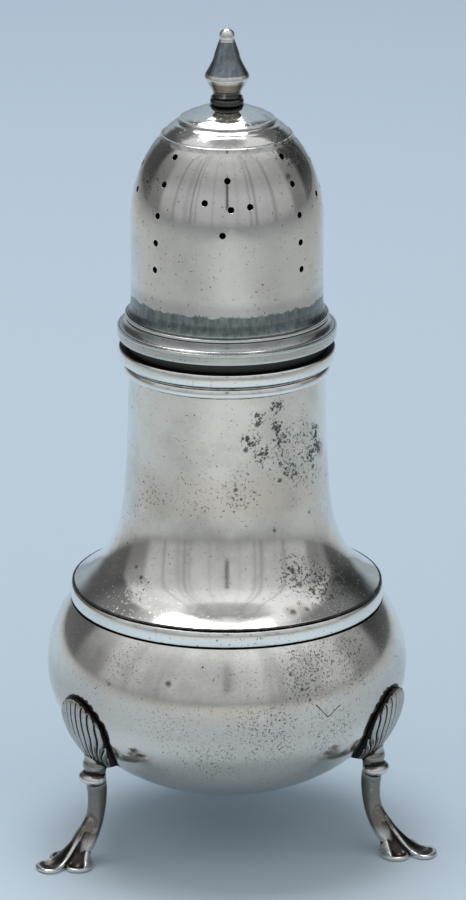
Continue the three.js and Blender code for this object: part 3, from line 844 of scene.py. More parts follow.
def lofted(rings):
    """A closed bmesh through rings that have the same number of points."""
    bm = bmesh.new()
    rim = bmesh.ops.create_circle(bm, segments=len(rings[0]), radius=1, cap_ends=True)["verts"]
    for v, point in zip(rim, rings[0]):
        v.co = point
    for ring in rings[1:]:
        order = {v: i for i, v in enumerate(rim)}
        edges = [bm.edges.get((a, b)) for a, b in zip(rim, [*rim[1:], rim[0]])]
        made = bmesh.ops.extrude_edge_only(bm, edges=edges)["geom"]
        fresh = {}
        for v in (g for g in made if isinstance(g, bmesh.types.BMVert)):
            below = next(e.other_vert(v) for e in v.link_edges if e.other_vert(v) in order)
            fresh[order[below]] = v
        rim = [fresh[i] for i in range(len(ring))]
        for v, point in zip(rim, ring):
            v.co = point
    bmesh.ops.contextual_create(bm, geom=rim)
    bmesh.ops.recalc_face_normals(bm, faces=bm.faces)
    return bm


def leg_stem():
    sections = zip(STEM_HEIGHT_SHARES, STEM_SECTIONS)
    stations = [(knop_radius + out, knop_height * share) for share, (out, _, _) in sections]
    middle = smooth_line(stations, STEM_CURVE_STEPS)
    sizes = smooth_line([(fore, across) for _, fore, across in STEM_SECTIONS], STEM_CURVE_STEPS)
    rings = []
    for i, ((radius, height), (fore, across)) in enumerate(zip(middle, sizes)):
        before, after = middle[max(i - 1, 0)], middle[min(i + 1, len(middle) - 1)]
        heading = (Vector(after) - Vector(before)).normalized()
        angles = [2 * math.pi * (k + 0.5) / STEM_SIDES for k in range(STEM_SIDES)]
        rings.append([
            on_leg(
                radius + fore * math.cos(a) * heading.y,
                across * math.sin(a),
                height - fore * math.cos(a) * heading.x,
            )
            for a in angles
        ])
    return lofted(rings)


def leg_roll(facts):
    """A flattened ball at the knop."""
    bm = bmesh.new()
    bmesh.ops.create_uvsphere(bm, u_segments=48, v_segments=32, radius=1)
    bmesh.ops.scale(bm, vec=facts["half_size"], verts=bm.verts)
    place = on_leg(knop_radius - facts["in"], 0, knop_height - facts["down"])
    bmesh.ops.translate(bm, vec=place, verts=bm.verts)
    return bm


print("a knop stands", round(knop_radius, 1), "mm from the axis")

# %% [markdown]
# The foot spreads into three toes: a long one that points outwards and a short one on each side.
# Rings that shrink towards the ankle give a bright rim round the edge, a hollow in each toe, and
# spines that run down between the toes. `FOOT_TOP_SHARES` gives each ring's size, its share of the
# rise to the ankle and its share of the toes' hollow.

# %% Shape the foot
ANKLE_STEP = 1.98
FOOT_EDGE = 0.65
FOOT_BEVEL = 0.2
FOOT_HOLLOW = 0.85
FOOT_RISE = 5.2
FOOT_LEAN = 1.9
FOOT_CURVE_STEPS = 5
SOLE_SHARE = 0.97
SPINE_ANGLE = 24
TOE_OUTLINE = [
    (-1.6, 0), (-1.2, 1.7), (-0.1, 3.2), (1.3, 3.9), (2.7, 3.5), (3.4, 2.4), (3.2, 1.4), (4.1, 1.7),
    (5.3, 2.0), (6.4, 1.4), (6.8, 0),
]
FOOT_TOP_SHARES = [
    (0.94, 0, 0), (0.8, 0.06, 0.75), (0.62, 0.2, 1), (0.45, 0.42, 0.7), (0.3, 0.7, 0.3), (0.2, 1, 0),
]

ankle = knop_radius + ANKLE_STEP


def toe_share(out, side):
    """How much of the hollow a direction has: all in the middle of a toe, none on a spine."""
    spines = min(math.degrees(abs(math.atan2(side, out))) / SPINE_ANGLE, 3)
    return abs(math.cos(spines * math.pi / 2))


def foot_outline():
    one_side = smooth_line(TOE_OUTLINE, FOOT_CURVE_STEPS)
    return [*one_side, *[(out, -side) for out, side in reversed(one_side[1:-1])]]


def leg_foot(turn):
    edge = [(SOLE_SHARE, 0, 0, 0), (1, FOOT_BEVEL, 0, 0), (1, FOOT_EDGE - FOOT_BEVEL, 0, 0)]
    sizes_and_hollows = smooth_line([(size, hollow) for size, _, hollow in FOOT_TOP_SHARES], FOOT_CURVE_STEPS)
    sizes_and_rises = smooth_line([(size, up) for size, up, _ in FOOT_TOP_SHARES], FOOT_CURVE_STEPS)
    top = [
        (size, FOOT_EDGE + (FOOT_RISE - FOOT_EDGE) * up, hollow, FOOT_LEAN * up)
        for (size, up), (_, hollow) in zip(sizes_and_rises, sizes_and_hollows)
    ]
    swing = math.radians(turn)
    rings = []
    for size, height, hollow, lean in [*edge, *top]:
        ring = []
        for out, side in foot_outline():
            along = size * (out * math.cos(swing) - side * math.sin(swing))
            aside = size * (out * math.sin(swing) + side * math.cos(swing))
            drop = FOOT_HOLLOW * hollow * toe_share(out, side)
            ring.append(on_leg(ankle - lean + along, aside, height - drop))
        rings.append(ring)
    return lofted(rings)


print("the foot's outline has", len(foot_outline()), "points")

# %% [markdown]
# The forms are put in one mesh, and a Remesh modifier makes a single skin round them at a tenth of a
# millimetre. Whatever lies inside the bowl's surface is moved out on to it, so the leg ends flat on
# the bowl, as a soldered leg does. While the leg still faces the front, its points are told apart:
# `film` is stored in the hollows of the toes, which are brown with tarnish. It fades towards the rim,
# the sole, the top of the foot and the spines.

# %% Find the film on the toes
TOE_RIM = (1.0, 0.94)
TOP_FADE = 1.5
SOLE_FADE = (0.3, 0.6)
SPINE_FADE = (0.1, 0.55)
TOE_FILM_STRENGTH = 1.6

outline_angles, outline_reaches = np.array(
    sorted((math.atan2(side, out), math.hypot(side, out)) for out, side in foot_outline())
).T


def toe_film(co, turn):
    """1 in the hollow of a toe, for a point of a leg that faces the front."""
    up = (co.z - FOOT_EDGE) / (FOOT_RISE - FOOT_EDGE)
    lean = FOOT_LEAN * min(1.0, max(0.0, up))
    point = Matrix.Rotation(-math.radians(turn), 2) @ Vector((-co.y - ankle + lean, co.x))
    reach = np.interp(math.atan2(point.y, point.x), outline_angles, outline_reaches)
    inside = share_of(-point.length / reach, -TOE_RIM[0], -TOE_RIM[1])
    low = share_of(-co.z, -FOOT_RISE, -FOOT_RISE + TOP_FADE) * share_of(co.z, *SOLE_FADE)
    return min(1.0, TOE_FILM_STRENGTH * inside * low * share_of(toe_share(point.x, point.y), *SPINE_FADE))


print("a toe reaches", round(float(outline_reaches.max()), 1), "mm from the ankle")

# %% Join each leg and set it in its place
VOXEL = 0.1
CAST_SMOOTHING = 2
CAST_SMOOTH_FACTOR = 0.4
SOLDER = 0.02
LEG_ANGLES = {"leg_front_left": -60, "leg_front_right": 60, "leg_back": 180}
FOOT_TURNS = {"leg_front_left": -2, "leg_front_right": 6, "leg_back": 0}


def rest_on_bowl(bm):
    """Moves whatever lies inside the bowl out on to it."""
    middle = Vector((0, 0, bowl_centre))
    for v in bm.verts:
        half = BOWL_DEPTH if v.co.z < bowl_centre else BOWL_CROWN
        reach = Vector((v.co.x / BOWL_RADIUS, v.co.y / BOWL_RADIUS, (v.co.z - bowl_centre) / half)).length
        if reach < 1:
            v.co = middle + (v.co - middle) * ((1 + SOLDER / BOWL_RADIUS) / reach)


def cast_leg(node):
    turn = FOOT_TURNS[node]
    forms = [leg_shell(), leg_roll(KNOP_ROLL), leg_roll(KNOP_SWELLING), leg_stem(), leg_foot(turn)]
    helper = shown("leg_forms", joined(forms))
    skin = helper.modifiers.new("skin", "REMESH")
    skin.mode = "VOXEL"
    skin.voxel_size = VOXEL
    bm = applied(helper)
    for _ in range(CAST_SMOOTHING):
        bmesh.ops.smooth_vert(
            bm, verts=bm.verts, factor=CAST_SMOOTH_FACTOR, use_axis_x=True, use_axis_y=True, use_axis_z=True
        )
    rest_on_bowl(bm)
    film = bm.verts.layers.float.new("film")
    for v in bm.verts:
        v.co.z = max(v.co.z, TABLE)
        v[film] = toe_film(v.co, turn) if v.co.z < FOOT_RISE else 0.0
    swing = Matrix.Rotation(math.radians(LEG_ANGLES[node]), 4, "Z")
    bmesh.ops.transform(bm, matrix=swing, verts=bm.verts)
    return finished("cast_" + node, bm, "pot", "cast_silver", node)


legs = [cast_leg(node) for node in LEG_ANGLES]

# %% [markdown]
# ## Where tarnish and painted shade gather
# Silver turns dark where a cloth doesn't reach: in grooves, and along the seams between pieces. It
# stays bright on edges that are rubbed. Four numbers are stored with the points of the meshes, and
# the materials read them. `hollow` says how far a point lies below its surroundings, or above them,
# `seam` is 1 where another piece touches, and on the upright edge of each leg's shell, where it also
# paints shade, `film` is 1 under a thick even skin of tarnish, and `dirt` is 1 where the metal is
# painted quite black, for dirt and for the shade in the gap under the rim and inside the dome.

# %% Helpers for the points of a mesh
def shape_of(mesh):
    """The points, in millimetres, and the normals of a mesh."""
    points = np.zeros(len(mesh.vertices) * 3)
    mesh.vertices.foreach_get("co", points)
    normals = np.zeros(len(mesh.vertices) * 3)
    mesh.vertex_normals.foreach_get("vector", normals)
    return points.reshape(-1, 3) / MM, normals.reshape(-1, 3)


def edges_of(mesh):
    pairs = np.zeros(len(mesh.edges) * 2, dtype=np.int32)
    mesh.edges.foreach_get("vertices", pairs)
    return pairs.reshape(-1, 2).T


def averaged(values, pairs, rounds):
    """The values, each mixed with its neighbours' a few times."""
    a, b = pairs
    size = len(values)
    count = np.bincount(a, minlength=size) + np.bincount(b, minlength=size) + 1
    for _ in range(rounds):
        values = values + np.bincount(a, values[b], size) + np.bincount(b, values[a], size)
        values = values / count
    return values


def store(mesh, name, values):
    layer = mesh.attributes.get(name) or mesh.attributes.new(name, "FLOAT", "POINT")
    layer.data.foreach_set("value", values.astype(np.float32))


print("the bowl has", len(bowl.data.vertices), "points")

# %% [markdown]
# On a turned piece a hollow is a place where the surface bends inwards: along an edge from one point to
# the next, the normals lean towards each other. On a cast leg the surroundings are found by smoothing:
# the points are averaged with their neighbours many times, and a point that ends up higher along its
# normal was in a hollow.

# %% Measure the hollows
TURNED_HOLLOW = 0.6
STEEPEST = 1.5
CAST_ROUNDS = 30
CAST_HOLLOW = 0.075


def turned_hollows(mesh):
    """1 in a groove with a radius of `TURNED_HOLLOW` millimetres, and -1 on an edge as tight."""
    points, normals = shape_of(mesh)
    a, b = edges_of(mesh)
    gap = points[b] - points[a]
    squared = np.maximum((gap**2).sum(1), 1e-8)
    size = len(points)
    bend = np.bincount(a, (gap * normals[a]).sum(1) / squared, size)
    bend -= np.bincount(b, (gap * normals[b]).sum(1) / squared, size)
    count = np.maximum(np.bincount(a, minlength=size) + np.bincount(b, minlength=size), 1)
    return averaged(np.clip(bend / count * TURNED_HOLLOW, -STEEPEST, STEEPEST), (a, b), 1)


def cast_hollows(mesh):
    """How far the points lie below their surroundings, where 1 is a deep groove."""
    points, normals = shape_of(mesh)
    pairs = edges_of(mesh)
    around = np.stack([averaged(points[:, k], pairs, CAST_ROUNDS) for k in range(3)], 1)
    depth = ((around - points) * normals).sum(1) / CAST_HOLLOW
    return averaged(depth, pairs, 1)


pot_pieces = [bowl, band, neck, collar, *legs]
cover_pieces = [sleeve, rim, dome, finial]
for piece in [*pot_pieces, *cover_pieces]:
    hollows = cast_hollows if piece in legs else turned_hollows
    store(piece.data, "hollow", np.clip(hollows(piece.data), -1, 1))
print("measured", len(pot_pieces) + len(cover_pieces), "pieces")

# %% [markdown]
# A seam is found by asking each point of a piece how far it is from its neighbours' surfaces. It
# reaches further at the legs, and there its dark is partly dirt and partly painted shadow beside the
# shell. The upright edge of a shell, which stands on the bowl, counts as a seam too: dirt fills that
# corner, and its black also paints the shade under the shell's overhanging edge. It is the part of
# the leg that is near the bowl and faces along it.

# %% Find the seams
SEAM_REACH = 0.5
# At the legs the seam reaches further, for the painted shadow beside the shell as well as the dirt.
LEG_SEAM_AND_SHADE_REACH = 1.0
WALL_REACH = (1.6, 1.1)
WALL_FACING = (0.7, 0.4)


def seams(piece, others):
    """1 where another piece touches, falling to 0 a short way off."""
    depsgraph = bpy.context.evaluated_depsgraph_get()
    near = np.zeros(len(piece.data.vertices))
    for other in others:
        reach = (LEG_SEAM_AND_SHADE_REACH if piece in legs or other in legs else SEAM_REACH) * MM
        tree = BVHTree.FromObject(other, depsgraph)
        for i, v in enumerate(piece.data.vertices):
            gap = tree.find_nearest(v.co, reach)[3]
            if gap is not None:
                near[i] = max(near[i], 1 - gap / reach)
    return near


def falling(values, zero, one):
    """0 at the first limit and above, rising to 1 at the second, lower one."""
    return np.clip((zero - values) / (zero - one), 0, 1)


def shell_walls_dirt_and_shade(mesh):
    """1 on the upright edge of a leg's shell, which stands on the bowl, where dirt and painted shade are put."""
    points, normals = shape_of(mesh)
    scale = np.array([1, 1, BOWL_RADIUS / BOWL_DEPTH])
    from_centre = (points - [0, 0, bowl_centre]) * scale
    away = np.linalg.norm(from_centre, axis=1) - BOWL_RADIUS
    out = from_centre * scale
    out /= np.linalg.norm(out, axis=1, keepdims=True)
    facing = np.abs((out * normals).sum(1))
    near = falling(away, *WALL_REACH)
    return falling(facing, *WALL_FACING) * near


for piece in (bowl, band, neck, collar):
    store(piece.data, "seam", seams(piece, [other for other in pot_pieces if other != piece]))
for piece in legs:
    store(piece.data, "seam", np.maximum(seams(piece, [bowl]), shell_walls_dirt_and_shade(piece.data)))
for piece, other in ((sleeve, rim), (rim, sleeve), (dome, finial), (finial, dome)):
    store(piece.data, "seam", seams(piece, [other]))
print("seams reach", SEAM_REACH, "mm, and", LEG_SEAM_AND_SHADE_REACH, "mm at the legs")

# %% [markdown]
# Film and dirt follow from where a point is. The skin of blue-grey tarnish lies on the rim's sweep and
# a few millimetres up the dome, and on the finial's cone. The gap under the rim is painted black,
# partly for dirt and partly as painted shade, and the inside of the dome is painted black as painted
# shade. An edge of film or dirt is stored as a slope, here in parts of 1 for each millimetre, so that
# the material can give it a ragged line. The film's slope on the dome is a long one, and it is 0.5 at
# its edge.

# %% Mark the film
FILM_EDGE = 0.5
DOME_FILM = {"top": 78.7, "slope": 0.25}
RIM_FILM = {"above_ridge": 0.3, "slope": 2}
CONE_FILM = {"above_base": 0.35, "below_top": 0.1, "slope": 2}


def mark(piece, name, rule):
    """Stores a number with each point, by a rule that reads its radius and its height."""
    points, _ = shape_of(piece.data)
    store(piece.data, name, np.clip(rule(np.hypot(points[:, 0], points[:, 1]), points[:, 2]), 0, 1))


def cone_film(radius, height):
    above = height - cone_base - CONE_FILM["above_base"]
    below = cone_top - CONE_FILM["below_top"] - height
    return np.minimum(above, below) * CONE_FILM["slope"]


rim_film_base = rim_ridge + RIM_FILM["above_ridge"]
mark(dome, "film", lambda radius, height: FILM_EDGE + (DOME_FILM["top"] - height) * DOME_FILM["slope"])
mark(rim, "film", lambda radius, height: FILM_EDGE + (height - rim_film_base) * RIM_FILM["slope"])
mark(finial, "film", cone_film)
print("film up to", DOME_FILM["top"], "mm on the dome")

# %% Mark the dirt and the painted shade
RIM_GAP_DIRT_AND_SHADE = {"above_base": 0.12, "slope": 12}
SLEEVE_GAP_DIRT_AND_SHADE = {"below_top": 0.3, "slope": 8}
COLLAR_GAP_DIRT_AND_SHADE = {"below_top": 0.1, "slope": 12}
DOME_SKIN = 0.3
STEPPED_RADIUS = CROWN_STEPS[0] + 0.7
STEPPED_SKIN = 0.45


def dome_depth(radius, height):
    """How far a point lies inside the dome's outside, in millimetres."""
    rise = np.maximum(height - dome_spring, 0) / DOME_RISE
    return (1 - np.hypot(radius / dome_radius, rise)) * dome_radius


def inside_dome_painted_shade(radius, height):
    allowed = np.where(radius < STEPPED_RADIUS, STEPPED_SKIN, 0.0)
    return (dome_depth(radius, height) - allowed) / HOLE_SHADE - DOME_SKIN


# Painted shade: the inside of the dome and the walls of its holes are marked black.
mark(dome, "dirt", inside_dome_painted_shade)
# The gap under the rim, over the sleeve's flange and on top of the collar is painted black: partly dirt, partly
# painted shade.
mark(rim, "dirt", lambda radius, height: (rim_base + RIM_GAP_DIRT_AND_SHADE["above_base"] - height) * RIM_GAP_DIRT_AND_SHADE["slope"])
for piece, facts in ((sleeve, SLEEVE_GAP_DIRT_AND_SHADE), (collar, COLLAR_GAP_DIRT_AND_SHADE)):
    mark(piece, "dirt", lambda radius, height: (height - collar_top + facts["below_top"]) * facts["slope"])
print("the gap under the rim is dark from", round(rim_base, 1), "mm down")

# %% [markdown]
# ## Finishes
# A finish is a small network of nodes. These helpers add a node, fill its sockets and link it, so that
# a recipe reads as a list of steps. All patterns are fields in Object coordinates, which keeps them
# fixed to the metal, and their sizes are given in millimetres.

# %% Helpers for finishes
def add(tree, kind, sockets=None, **settings):
    """A new node with its settings and its sockets filled. A socket may be given a link or a value."""
    made = tree.nodes.new("ShaderNode" + kind)
    for name, value in settings.items():
        setattr(made, name, value)
    for name, value in (sockets or {}).items():
        if isinstance(value, bpy.types.NodeSocket):
            tree.links.new(value, made.inputs[name])
        else:
            made.inputs[name].default_value = value
    return made


def field(tree, place, size, detail=3.0, roughness=0.55):
    """A noise pattern with spots of about the given size in millimetres, from 0 to 1."""
    sockets = {"Scale": 1 / (size * MM), "Detail": detail, "Roughness": roughness}
    return add(tree, "TexNoise", {"Vector": place, **sockets}).outputs["Fac"]


def step_up(tree, value, low, high):
    """0 below low, 1 above high, and a smooth rise between them."""
    sockets = {"Value": value, "From Min": low, "From Max": high}
    return add(tree, "MapRange", sockets, interpolation_type="SMOOTHSTEP").outputs["Result"]


def step_down(tree, value, low, high):
    sockets = {"Value": value, "From Min": low, "From Max": high, "To Min": 1.0, "To Max": 0.0}
    return add(tree, "MapRange", sockets, interpolation_type="SMOOTHSTEP").outputs["Result"]


def maths(tree, operation, first, second=0.0):
    return add(tree, "Math", {0: first, 1: second}, operation=operation).outputs[0]


def folded(tree, operation, values):
    """The values put together two at a time by one operation."""
    result = values[0]
    for value in values[1:]:
        result = maths(tree, operation, result, value)
    return result


def product(tree, *values):
    return folded(tree, "MULTIPLY", values)


def largest(tree, *values):
    return folded(tree, "MAXIMUM", values)


def total(tree, *values):
    return folded(tree, "ADD", values)


def mixed(tree, factor, first, second):
    """From the first colour to the second as the factor goes from 0 to 1."""
    colours = [(*c, 1) if isinstance(c, tuple) else c for c in (first, second)]
    return add(tree, "Mix", {0: factor, 6: colours[0], 7: colours[1]}, data_type="RGBA").outputs[2]


def blend(tree, factor, first, second):
    """From the first number to the second as the factor goes from 0 to 1."""
    return add(tree, "Mix", {0: factor, 2: first, 3: second}).outputs[0]


def stored(tree, name):
    return add(tree, "Attribute", attribute_name=name).outputs["Fac"]


def stretched(tree, place, scale):
    return add(tree, "Mapping", {"Vector": place, "Scale": scale}).outputs["Vector"]


print("helpers for nodes are ready")

# %% [markdown]
# Marks are small and have a place: a stain, a pit, a scratch. Each helper gives a mask, which is 1 on
# the mark and 0 off it. Places are in millimetres.

# %% Helpers for marks
STAIN_EDGES = (0.75, 1.45)
PIT_EDGES = (-0.02, 0.04)
SCRATCH_CORE = 0.3


def metres(place):
    return tuple(value * MM for value in place)


def blots(tree, place, waver, marks):
    """1 on any of the given stains, each with a ragged edge."""
    masks = []
    for centre, radius, strength in marks:
        away = add(tree, "VectorMath", {0: place, 1: metres(centre)}, operation="DISTANCE").outputs["Value"]
        reach = total(tree, maths(tree, "DIVIDE", away, radius * MM), waver)
        masks.append(product(tree, step_down(tree, reach, *STAIN_EDGES), strength))
    return largest(tree, *masks) if masks else 0.0


def pits(tree, place, size, radius, chance):
    """Small round pits in some cells of a random pattern. Size and radius are in millimetres."""
    cells = add(tree, "TexVoronoi", {"Vector": place, "Scale": 1 / (size * MM)})
    draw = add(tree, "SeparateColor", {0: cells.outputs["Color"]})
    reach = maths(tree, "MULTIPLY", draw.outputs["Green"], radius / size)
    round_pit = step_down(tree, maths(tree, "SUBTRACT", cells.outputs["Distance"], reach), *PIT_EDGES)
    return product(tree, round_pit, maths(tree, "LESS_THAN", draw.outputs["Red"], chance))


def scratch(tree, place, start, end, width):
    """1 along a straight line between two points."""
    start, end = Vector(metres(start)), Vector(metres(end))
    along = end - start
    offset = add(tree, "VectorMath", {0: place, 1: start}, operation="SUBTRACT").outputs["Vector"]
    dot = add(tree, "VectorMath", {0: offset, 1: along}, operation="DOT_PRODUCT").outputs["Value"]
    share = maths(tree, "DIVIDE", dot, along.length_squared)
    share = maths(tree, "MINIMUM", maths(tree, "MAXIMUM", share, 0.0), 1.0)
    nearest = add(tree, "VectorMath", {0: along, "Scale": share}, operation="SCALE").outputs["Vector"]
    away = add(tree, "VectorMath", {0: offset, 1: nearest}, operation="DISTANCE").outputs["Value"]
    return step_down(tree, away, SCRATCH_CORE * width * MM, width * MM)


def belt(tree, height, low, high, soft):
    """1 between two heights, with soft edges."""
    above = step_up(tree, height, (low - soft) * MM, (low + soft) * MM)
    below = step_down(tree, height, (high - soft) * MM, (high + soft) * MM)
    return product(tree, above, below)


print("helpers for marks are ready")

# %% [markdown]
# Silver has six layers here. The clean metal is nearly white and varies a little in shade. A haze of
# thin tarnish, here pinkish and there greenish, dulls it in soft patches. Round pits and specks sit
# where the haze is worst, and crowd together where the metal is corroded. The edges are rubbed bright.
# The film is a thick skin of tarnish, and last, black fills the hollows, the seams and the places
# that `dirt` marks. In the hollows and the seams it is dirt; in the gap under the rim and along the
# legs' shells it is dirt together with painted shade, and inside the dome it is painted shade. Each
# layer also changes the roughness, because tarnish is dull, and the relief, because a pit is a small
# hole.
#
# `LOOK` says how much there is of each layer, and a finish names only what differs. The layers share
# their patterns, so that the edges of one follow those of another. `PATTERNS` gives each one's size in
# millimetres, its detail and its roughness.

# %% The common look and its patterns
LOOK = {
    "gloss": 0.12, "haze": 0.45, "worn": 0.5, "pit_chance": 0.3, "fleck": 0.4,
    "film": (0.19, 0.23, 0.24), "dark": (0.03, 0.027, 0.025),
    "stains": (), "spots": (), "scratches": (), "belts": (), "corroded": (),
}
PATTERNS = {
    "clouds": (8.0, 5.0, 0.6), "grain": (0.8, 5.0, 0.7), "hues": (5.0,), "ragged": (1.5, 5.0, 0.65),
    "streaks": (1.8, 5.0, 0.75), "lines": (1.2, 4.0, 0.7), "waves": (3.0, 2.0),
}
STRETCHES = {"streaks": (2.5, 2.5, 1), "lines": (1, 1, 8)}
PATCH_EDGES = (0.52, 0.8)
PATCH_GRAIN = 0.25
TINT_EDGES = (0.4, 0.6)


def patterns_of(tree, place):
    """The noise that the layers share. Streaks run up the piece, and lines run round it."""
    patterns = {}
    for name, size_and_detail in PATTERNS.items():
        where = stretched(tree, place, STRETCHES[name]) if name in STRETCHES else place
        patterns[name] = field(tree, where, *size_and_detail)
    clouded = total(tree, patterns["clouds"], product(tree, patterns["grain"], PATCH_GRAIN))
    patterns["patches"] = step_up(tree, clouded, *PATCH_EDGES)
    patterns["tints"] = step_up(tree, patterns["hues"], *TINT_EDGES)
    return patterns


print("a look says", len(LOOK), "things")

# %% Helpers for pits, film, and dirt with painted shade
ROUND_PITS = {"size": 0.9, "radius": 0.16}
POCKS = {"size": 0.5, "radius": 0.2, "chance": 0.5}
POCK_STRENGTH = 0.8
POCK_EDGES = (0.2, 0.7)
LEAST_SPECKLED = 0.3
SPECKLED_EDGES = (0.0, 0.5)
FLECK_EDGES = (0.62, 0.66)
FLECK_GAIN = 0.15
FILM_EDGES = (0.76, 0.84)
FILM_RAGGED = {"ragged": 0.4, "streaks": 0.2}
FILM_MOST = 0.96
GROOVE_EDGES = (0.26, 0.6)
GROOVE_UNDER_FILM = 0.75
SEAM_EDGES = (0.55, 0.75)
DIRT_AND_SHADE_RAGGED = (0.3, 0.2)
DIRT_AND_SHADE_EDGES = (0.45, 0.7)


def pitting(tree, place, patterns, look, stained):
    """1 on round pits, flecks, pocks, spots and scratches."""
    ragged = patterns["ragged"]
    eaten = blots(tree, place, ragged, look["corroded"])
    speckled = largest(tree, patterns["patches"], stained, eaten, LEAST_SPECKLED)
    round_pits = product(tree, pits(tree, place, **ROUND_PITS, chance=look["pit_chance"]), speckled)
    flecks = total(tree, field(tree, place, look["fleck"], 5.0, 0.75), product(tree, eaten, FLECK_GAIN))
    flecks = product(tree, step_up(tree, flecks, *FLECK_EDGES), step_up(tree, speckled, *SPECKLED_EDGES))
    pocks = product(tree, pits(tree, place, **POCKS), step_up(tree, eaten, *POCK_EDGES), POCK_STRENGTH)
    dots = blots(tree, place, ragged, look["spots"])
    lines = [scratch(tree, place, *ends_and_width) for ends_and_width in look["scratches"]]
    return largest(tree, round_pits, flecks, pocks, dots, *lines)


def film_skin(tree, patterns, edge):
    """1 under the film, except on rubbed edges."""
    wavering = [product(tree, patterns[name], share) for name, share in FILM_RAGGED.items()]
    skin = step_up(tree, total(tree, stored(tree, "film"), *wavering), *FILM_EDGES)
    return product(tree, skin, maths(tree, "SUBTRACT", FILM_MOST, edge))


def grime_and_shade(tree, patterns, hollow, filmed):
    """1 where dirt fills a groove, a seam or a place that is marked, and where the marks paint shade: in the gap
    under the rim, inside the dome and on the legs' shells. Grooves show less under a film.
    """
    waver, small_waver = (product(tree, patterns["ragged"], share) for share in DIRT_AND_SHADE_RAGGED)
    groove = step_up(tree, total(tree, hollow, waver), *GROOVE_EDGES)
    groove = product(tree, groove, maths(tree, "SUBTRACT", 1.0, product(tree, filmed, GROOVE_UNDER_FILM)))
    joint = step_up(tree, total(tree, stored(tree, "seam"), waver), *SEAM_EDGES)
    marked_dirt_and_shade = step_up(tree, total(tree, stored(tree, "dirt"), small_waver), *DIRT_AND_SHADE_EDGES)
    return largest(tree, groove, joint, marked_dirt_and_shade)


print("helpers for pits, film and dirt are ready")

# %% A recipe for the colour of silver
PINK_HAZE = (0.62, 0.58, 0.55)
GREEN_HAZE = (0.55, 0.56, 0.5)
CLOUD_SHADE = 0.92
RUBBED_SHINE = 1.04
RUBBED_EDGES = (-0.5, -0.12)
BELT_GAPS = (0.1, 0.45)
STREAK_EDGES = (0.35, 0.7)
FILM_SHADES = (0.7, 1.4)
PIT_STRENGTH = 0.88


def shaded(colour, share):
    return tuple(min(1.0, part * share) for part in colour)


def silver_colour(tree, place, patterns, look, clean):
    """The colour, and the masks that the roughness and the relief follow."""
    height = add(tree, "SeparateXYZ", {0: place}).outputs["Z"]
    hollow = stored(tree, "hollow")
    stained = blots(tree, place, patterns["ragged"], look["stains"])
    hazed = largest(tree, product(tree, patterns["patches"], look["haze"]), stained)
    edge = product(tree, step_down(tree, hollow, *RUBBED_EDGES), look["worn"])
    pitted = pitting(tree, place, patterns, look, stained)
    filmed = film_skin(tree, patterns, edge)
    dirt_and_shade = grime_and_shade(tree, patterns, hollow, filmed)

    colour = mixed(tree, patterns["clouds"], clean, shaded(clean, CLOUD_SHADE))
    colour = mixed(tree, hazed, colour, mixed(tree, patterns["tints"], PINK_HAZE, GREEN_HAZE))
    colour = mixed(tree, edge, colour, shaded(clean, RUBBED_SHINE))
    for low, high, soft, shade, amount in look["belts"]:
        gaps = step_up(tree, patterns["ragged"], *BELT_GAPS)
        colour = mixed(tree, product(tree, belt(tree, height, low, high, soft), gaps, amount), colour, shade)
    mottled = [shaded(look["film"], share) for share in FILM_SHADES]
    colour = mixed(tree, filmed, colour, mixed(tree, step_up(tree, patterns["streaks"], *STREAK_EDGES), *mottled))
    # The dark colour covers pits, dirt, and the painted shade in the gap under the rim, inside the dome and along
    # the legs' shells.
    colour = mixed(tree, largest(tree, product(tree, pitted, PIT_STRENGTH), dirt_and_shade), colour, look["dark"])
    return colour, hazed, filmed, largest(tree, pitted, dirt_and_shade)


print("six layers of colour are ready")

# %% A recipe for silver
LINE_ROUGH = 0.05
HAZE_ROUGH = 0.1
ROUGH_DROP = 0.02
FILM_ROUGH = 0.24
DIRT_AND_SHADE_ROUGH = 0.5
RELIEF = {"pits": -0.7, "lines": 0.15, "waves": 0.8}
BUMP = {"Strength": 0.35, "Distance": 0.04 * MM}


def silver(name, clean, **own):
    """A finish with its clean colour, and what it has of its own in the place of the common look."""
    look = {**LOOK, **own}
    material = bpy.data.materials.new(name)
    material.use_nodes = True
    tree = material.node_tree
    shader = tree.nodes["Principled BSDF"]
    shader.inputs["Metallic"].default_value = 1.0
    place = add(tree, "TexCoord").outputs["Object"]
    patterns = patterns_of(tree, place)
    lines, waves = patterns["lines"], patterns["waves"]
    colour, hazed, filmed, pits_dirt_and_shade = silver_colour(tree, place, patterns, look, clean)
    tree.links.new(colour, shader.inputs["Base Color"])

    uneven = [product(tree, lines, LINE_ROUGH), product(tree, hazed, HAZE_ROUGH)]
    rough = total(tree, *uneven, look["gloss"] - ROUGH_DROP)
    rough = blend(tree, filmed, rough, FILM_ROUGH)
    rough = blend(tree, pits_dirt_and_shade, rough, DIRT_AND_SHADE_ROUGH)
    tree.links.new(rough, shader.inputs["Roughness"])

    heights = {"pits": pits_dirt_and_shade, "lines": lines, "waves": waves}
    relief = total(tree, *(product(tree, heights[layer], height) for layer, height in RELIEF.items()))
    tree.links.new(add(tree, "Bump", {"Height": relief, **BUMP}).outputs["Normal"], shader.inputs["Normal"])
    return material


def give(finish, *pieces):
    for piece in pieces:
        piece.data.materials.append(finish)
    print(finish.name, "on", [piece.name for piece in pieces])


print("the recipe for silver is ready")

# %% [markdown]
# The marks that can be seen in the photograph are set in their places: the scratch and the pits on the
# front of the bowl, the stains on the flare and on the right of the neck, and those on the crown. Each
# stain, spot or corroded place has a centre, a radius and a strength, and each scratch two ends and a
# width. A belt is a tint all round between two heights, with a softness, a shade and an amount. The
# bowl has one of old tarnish over its lower half and a brighter one at its foot.

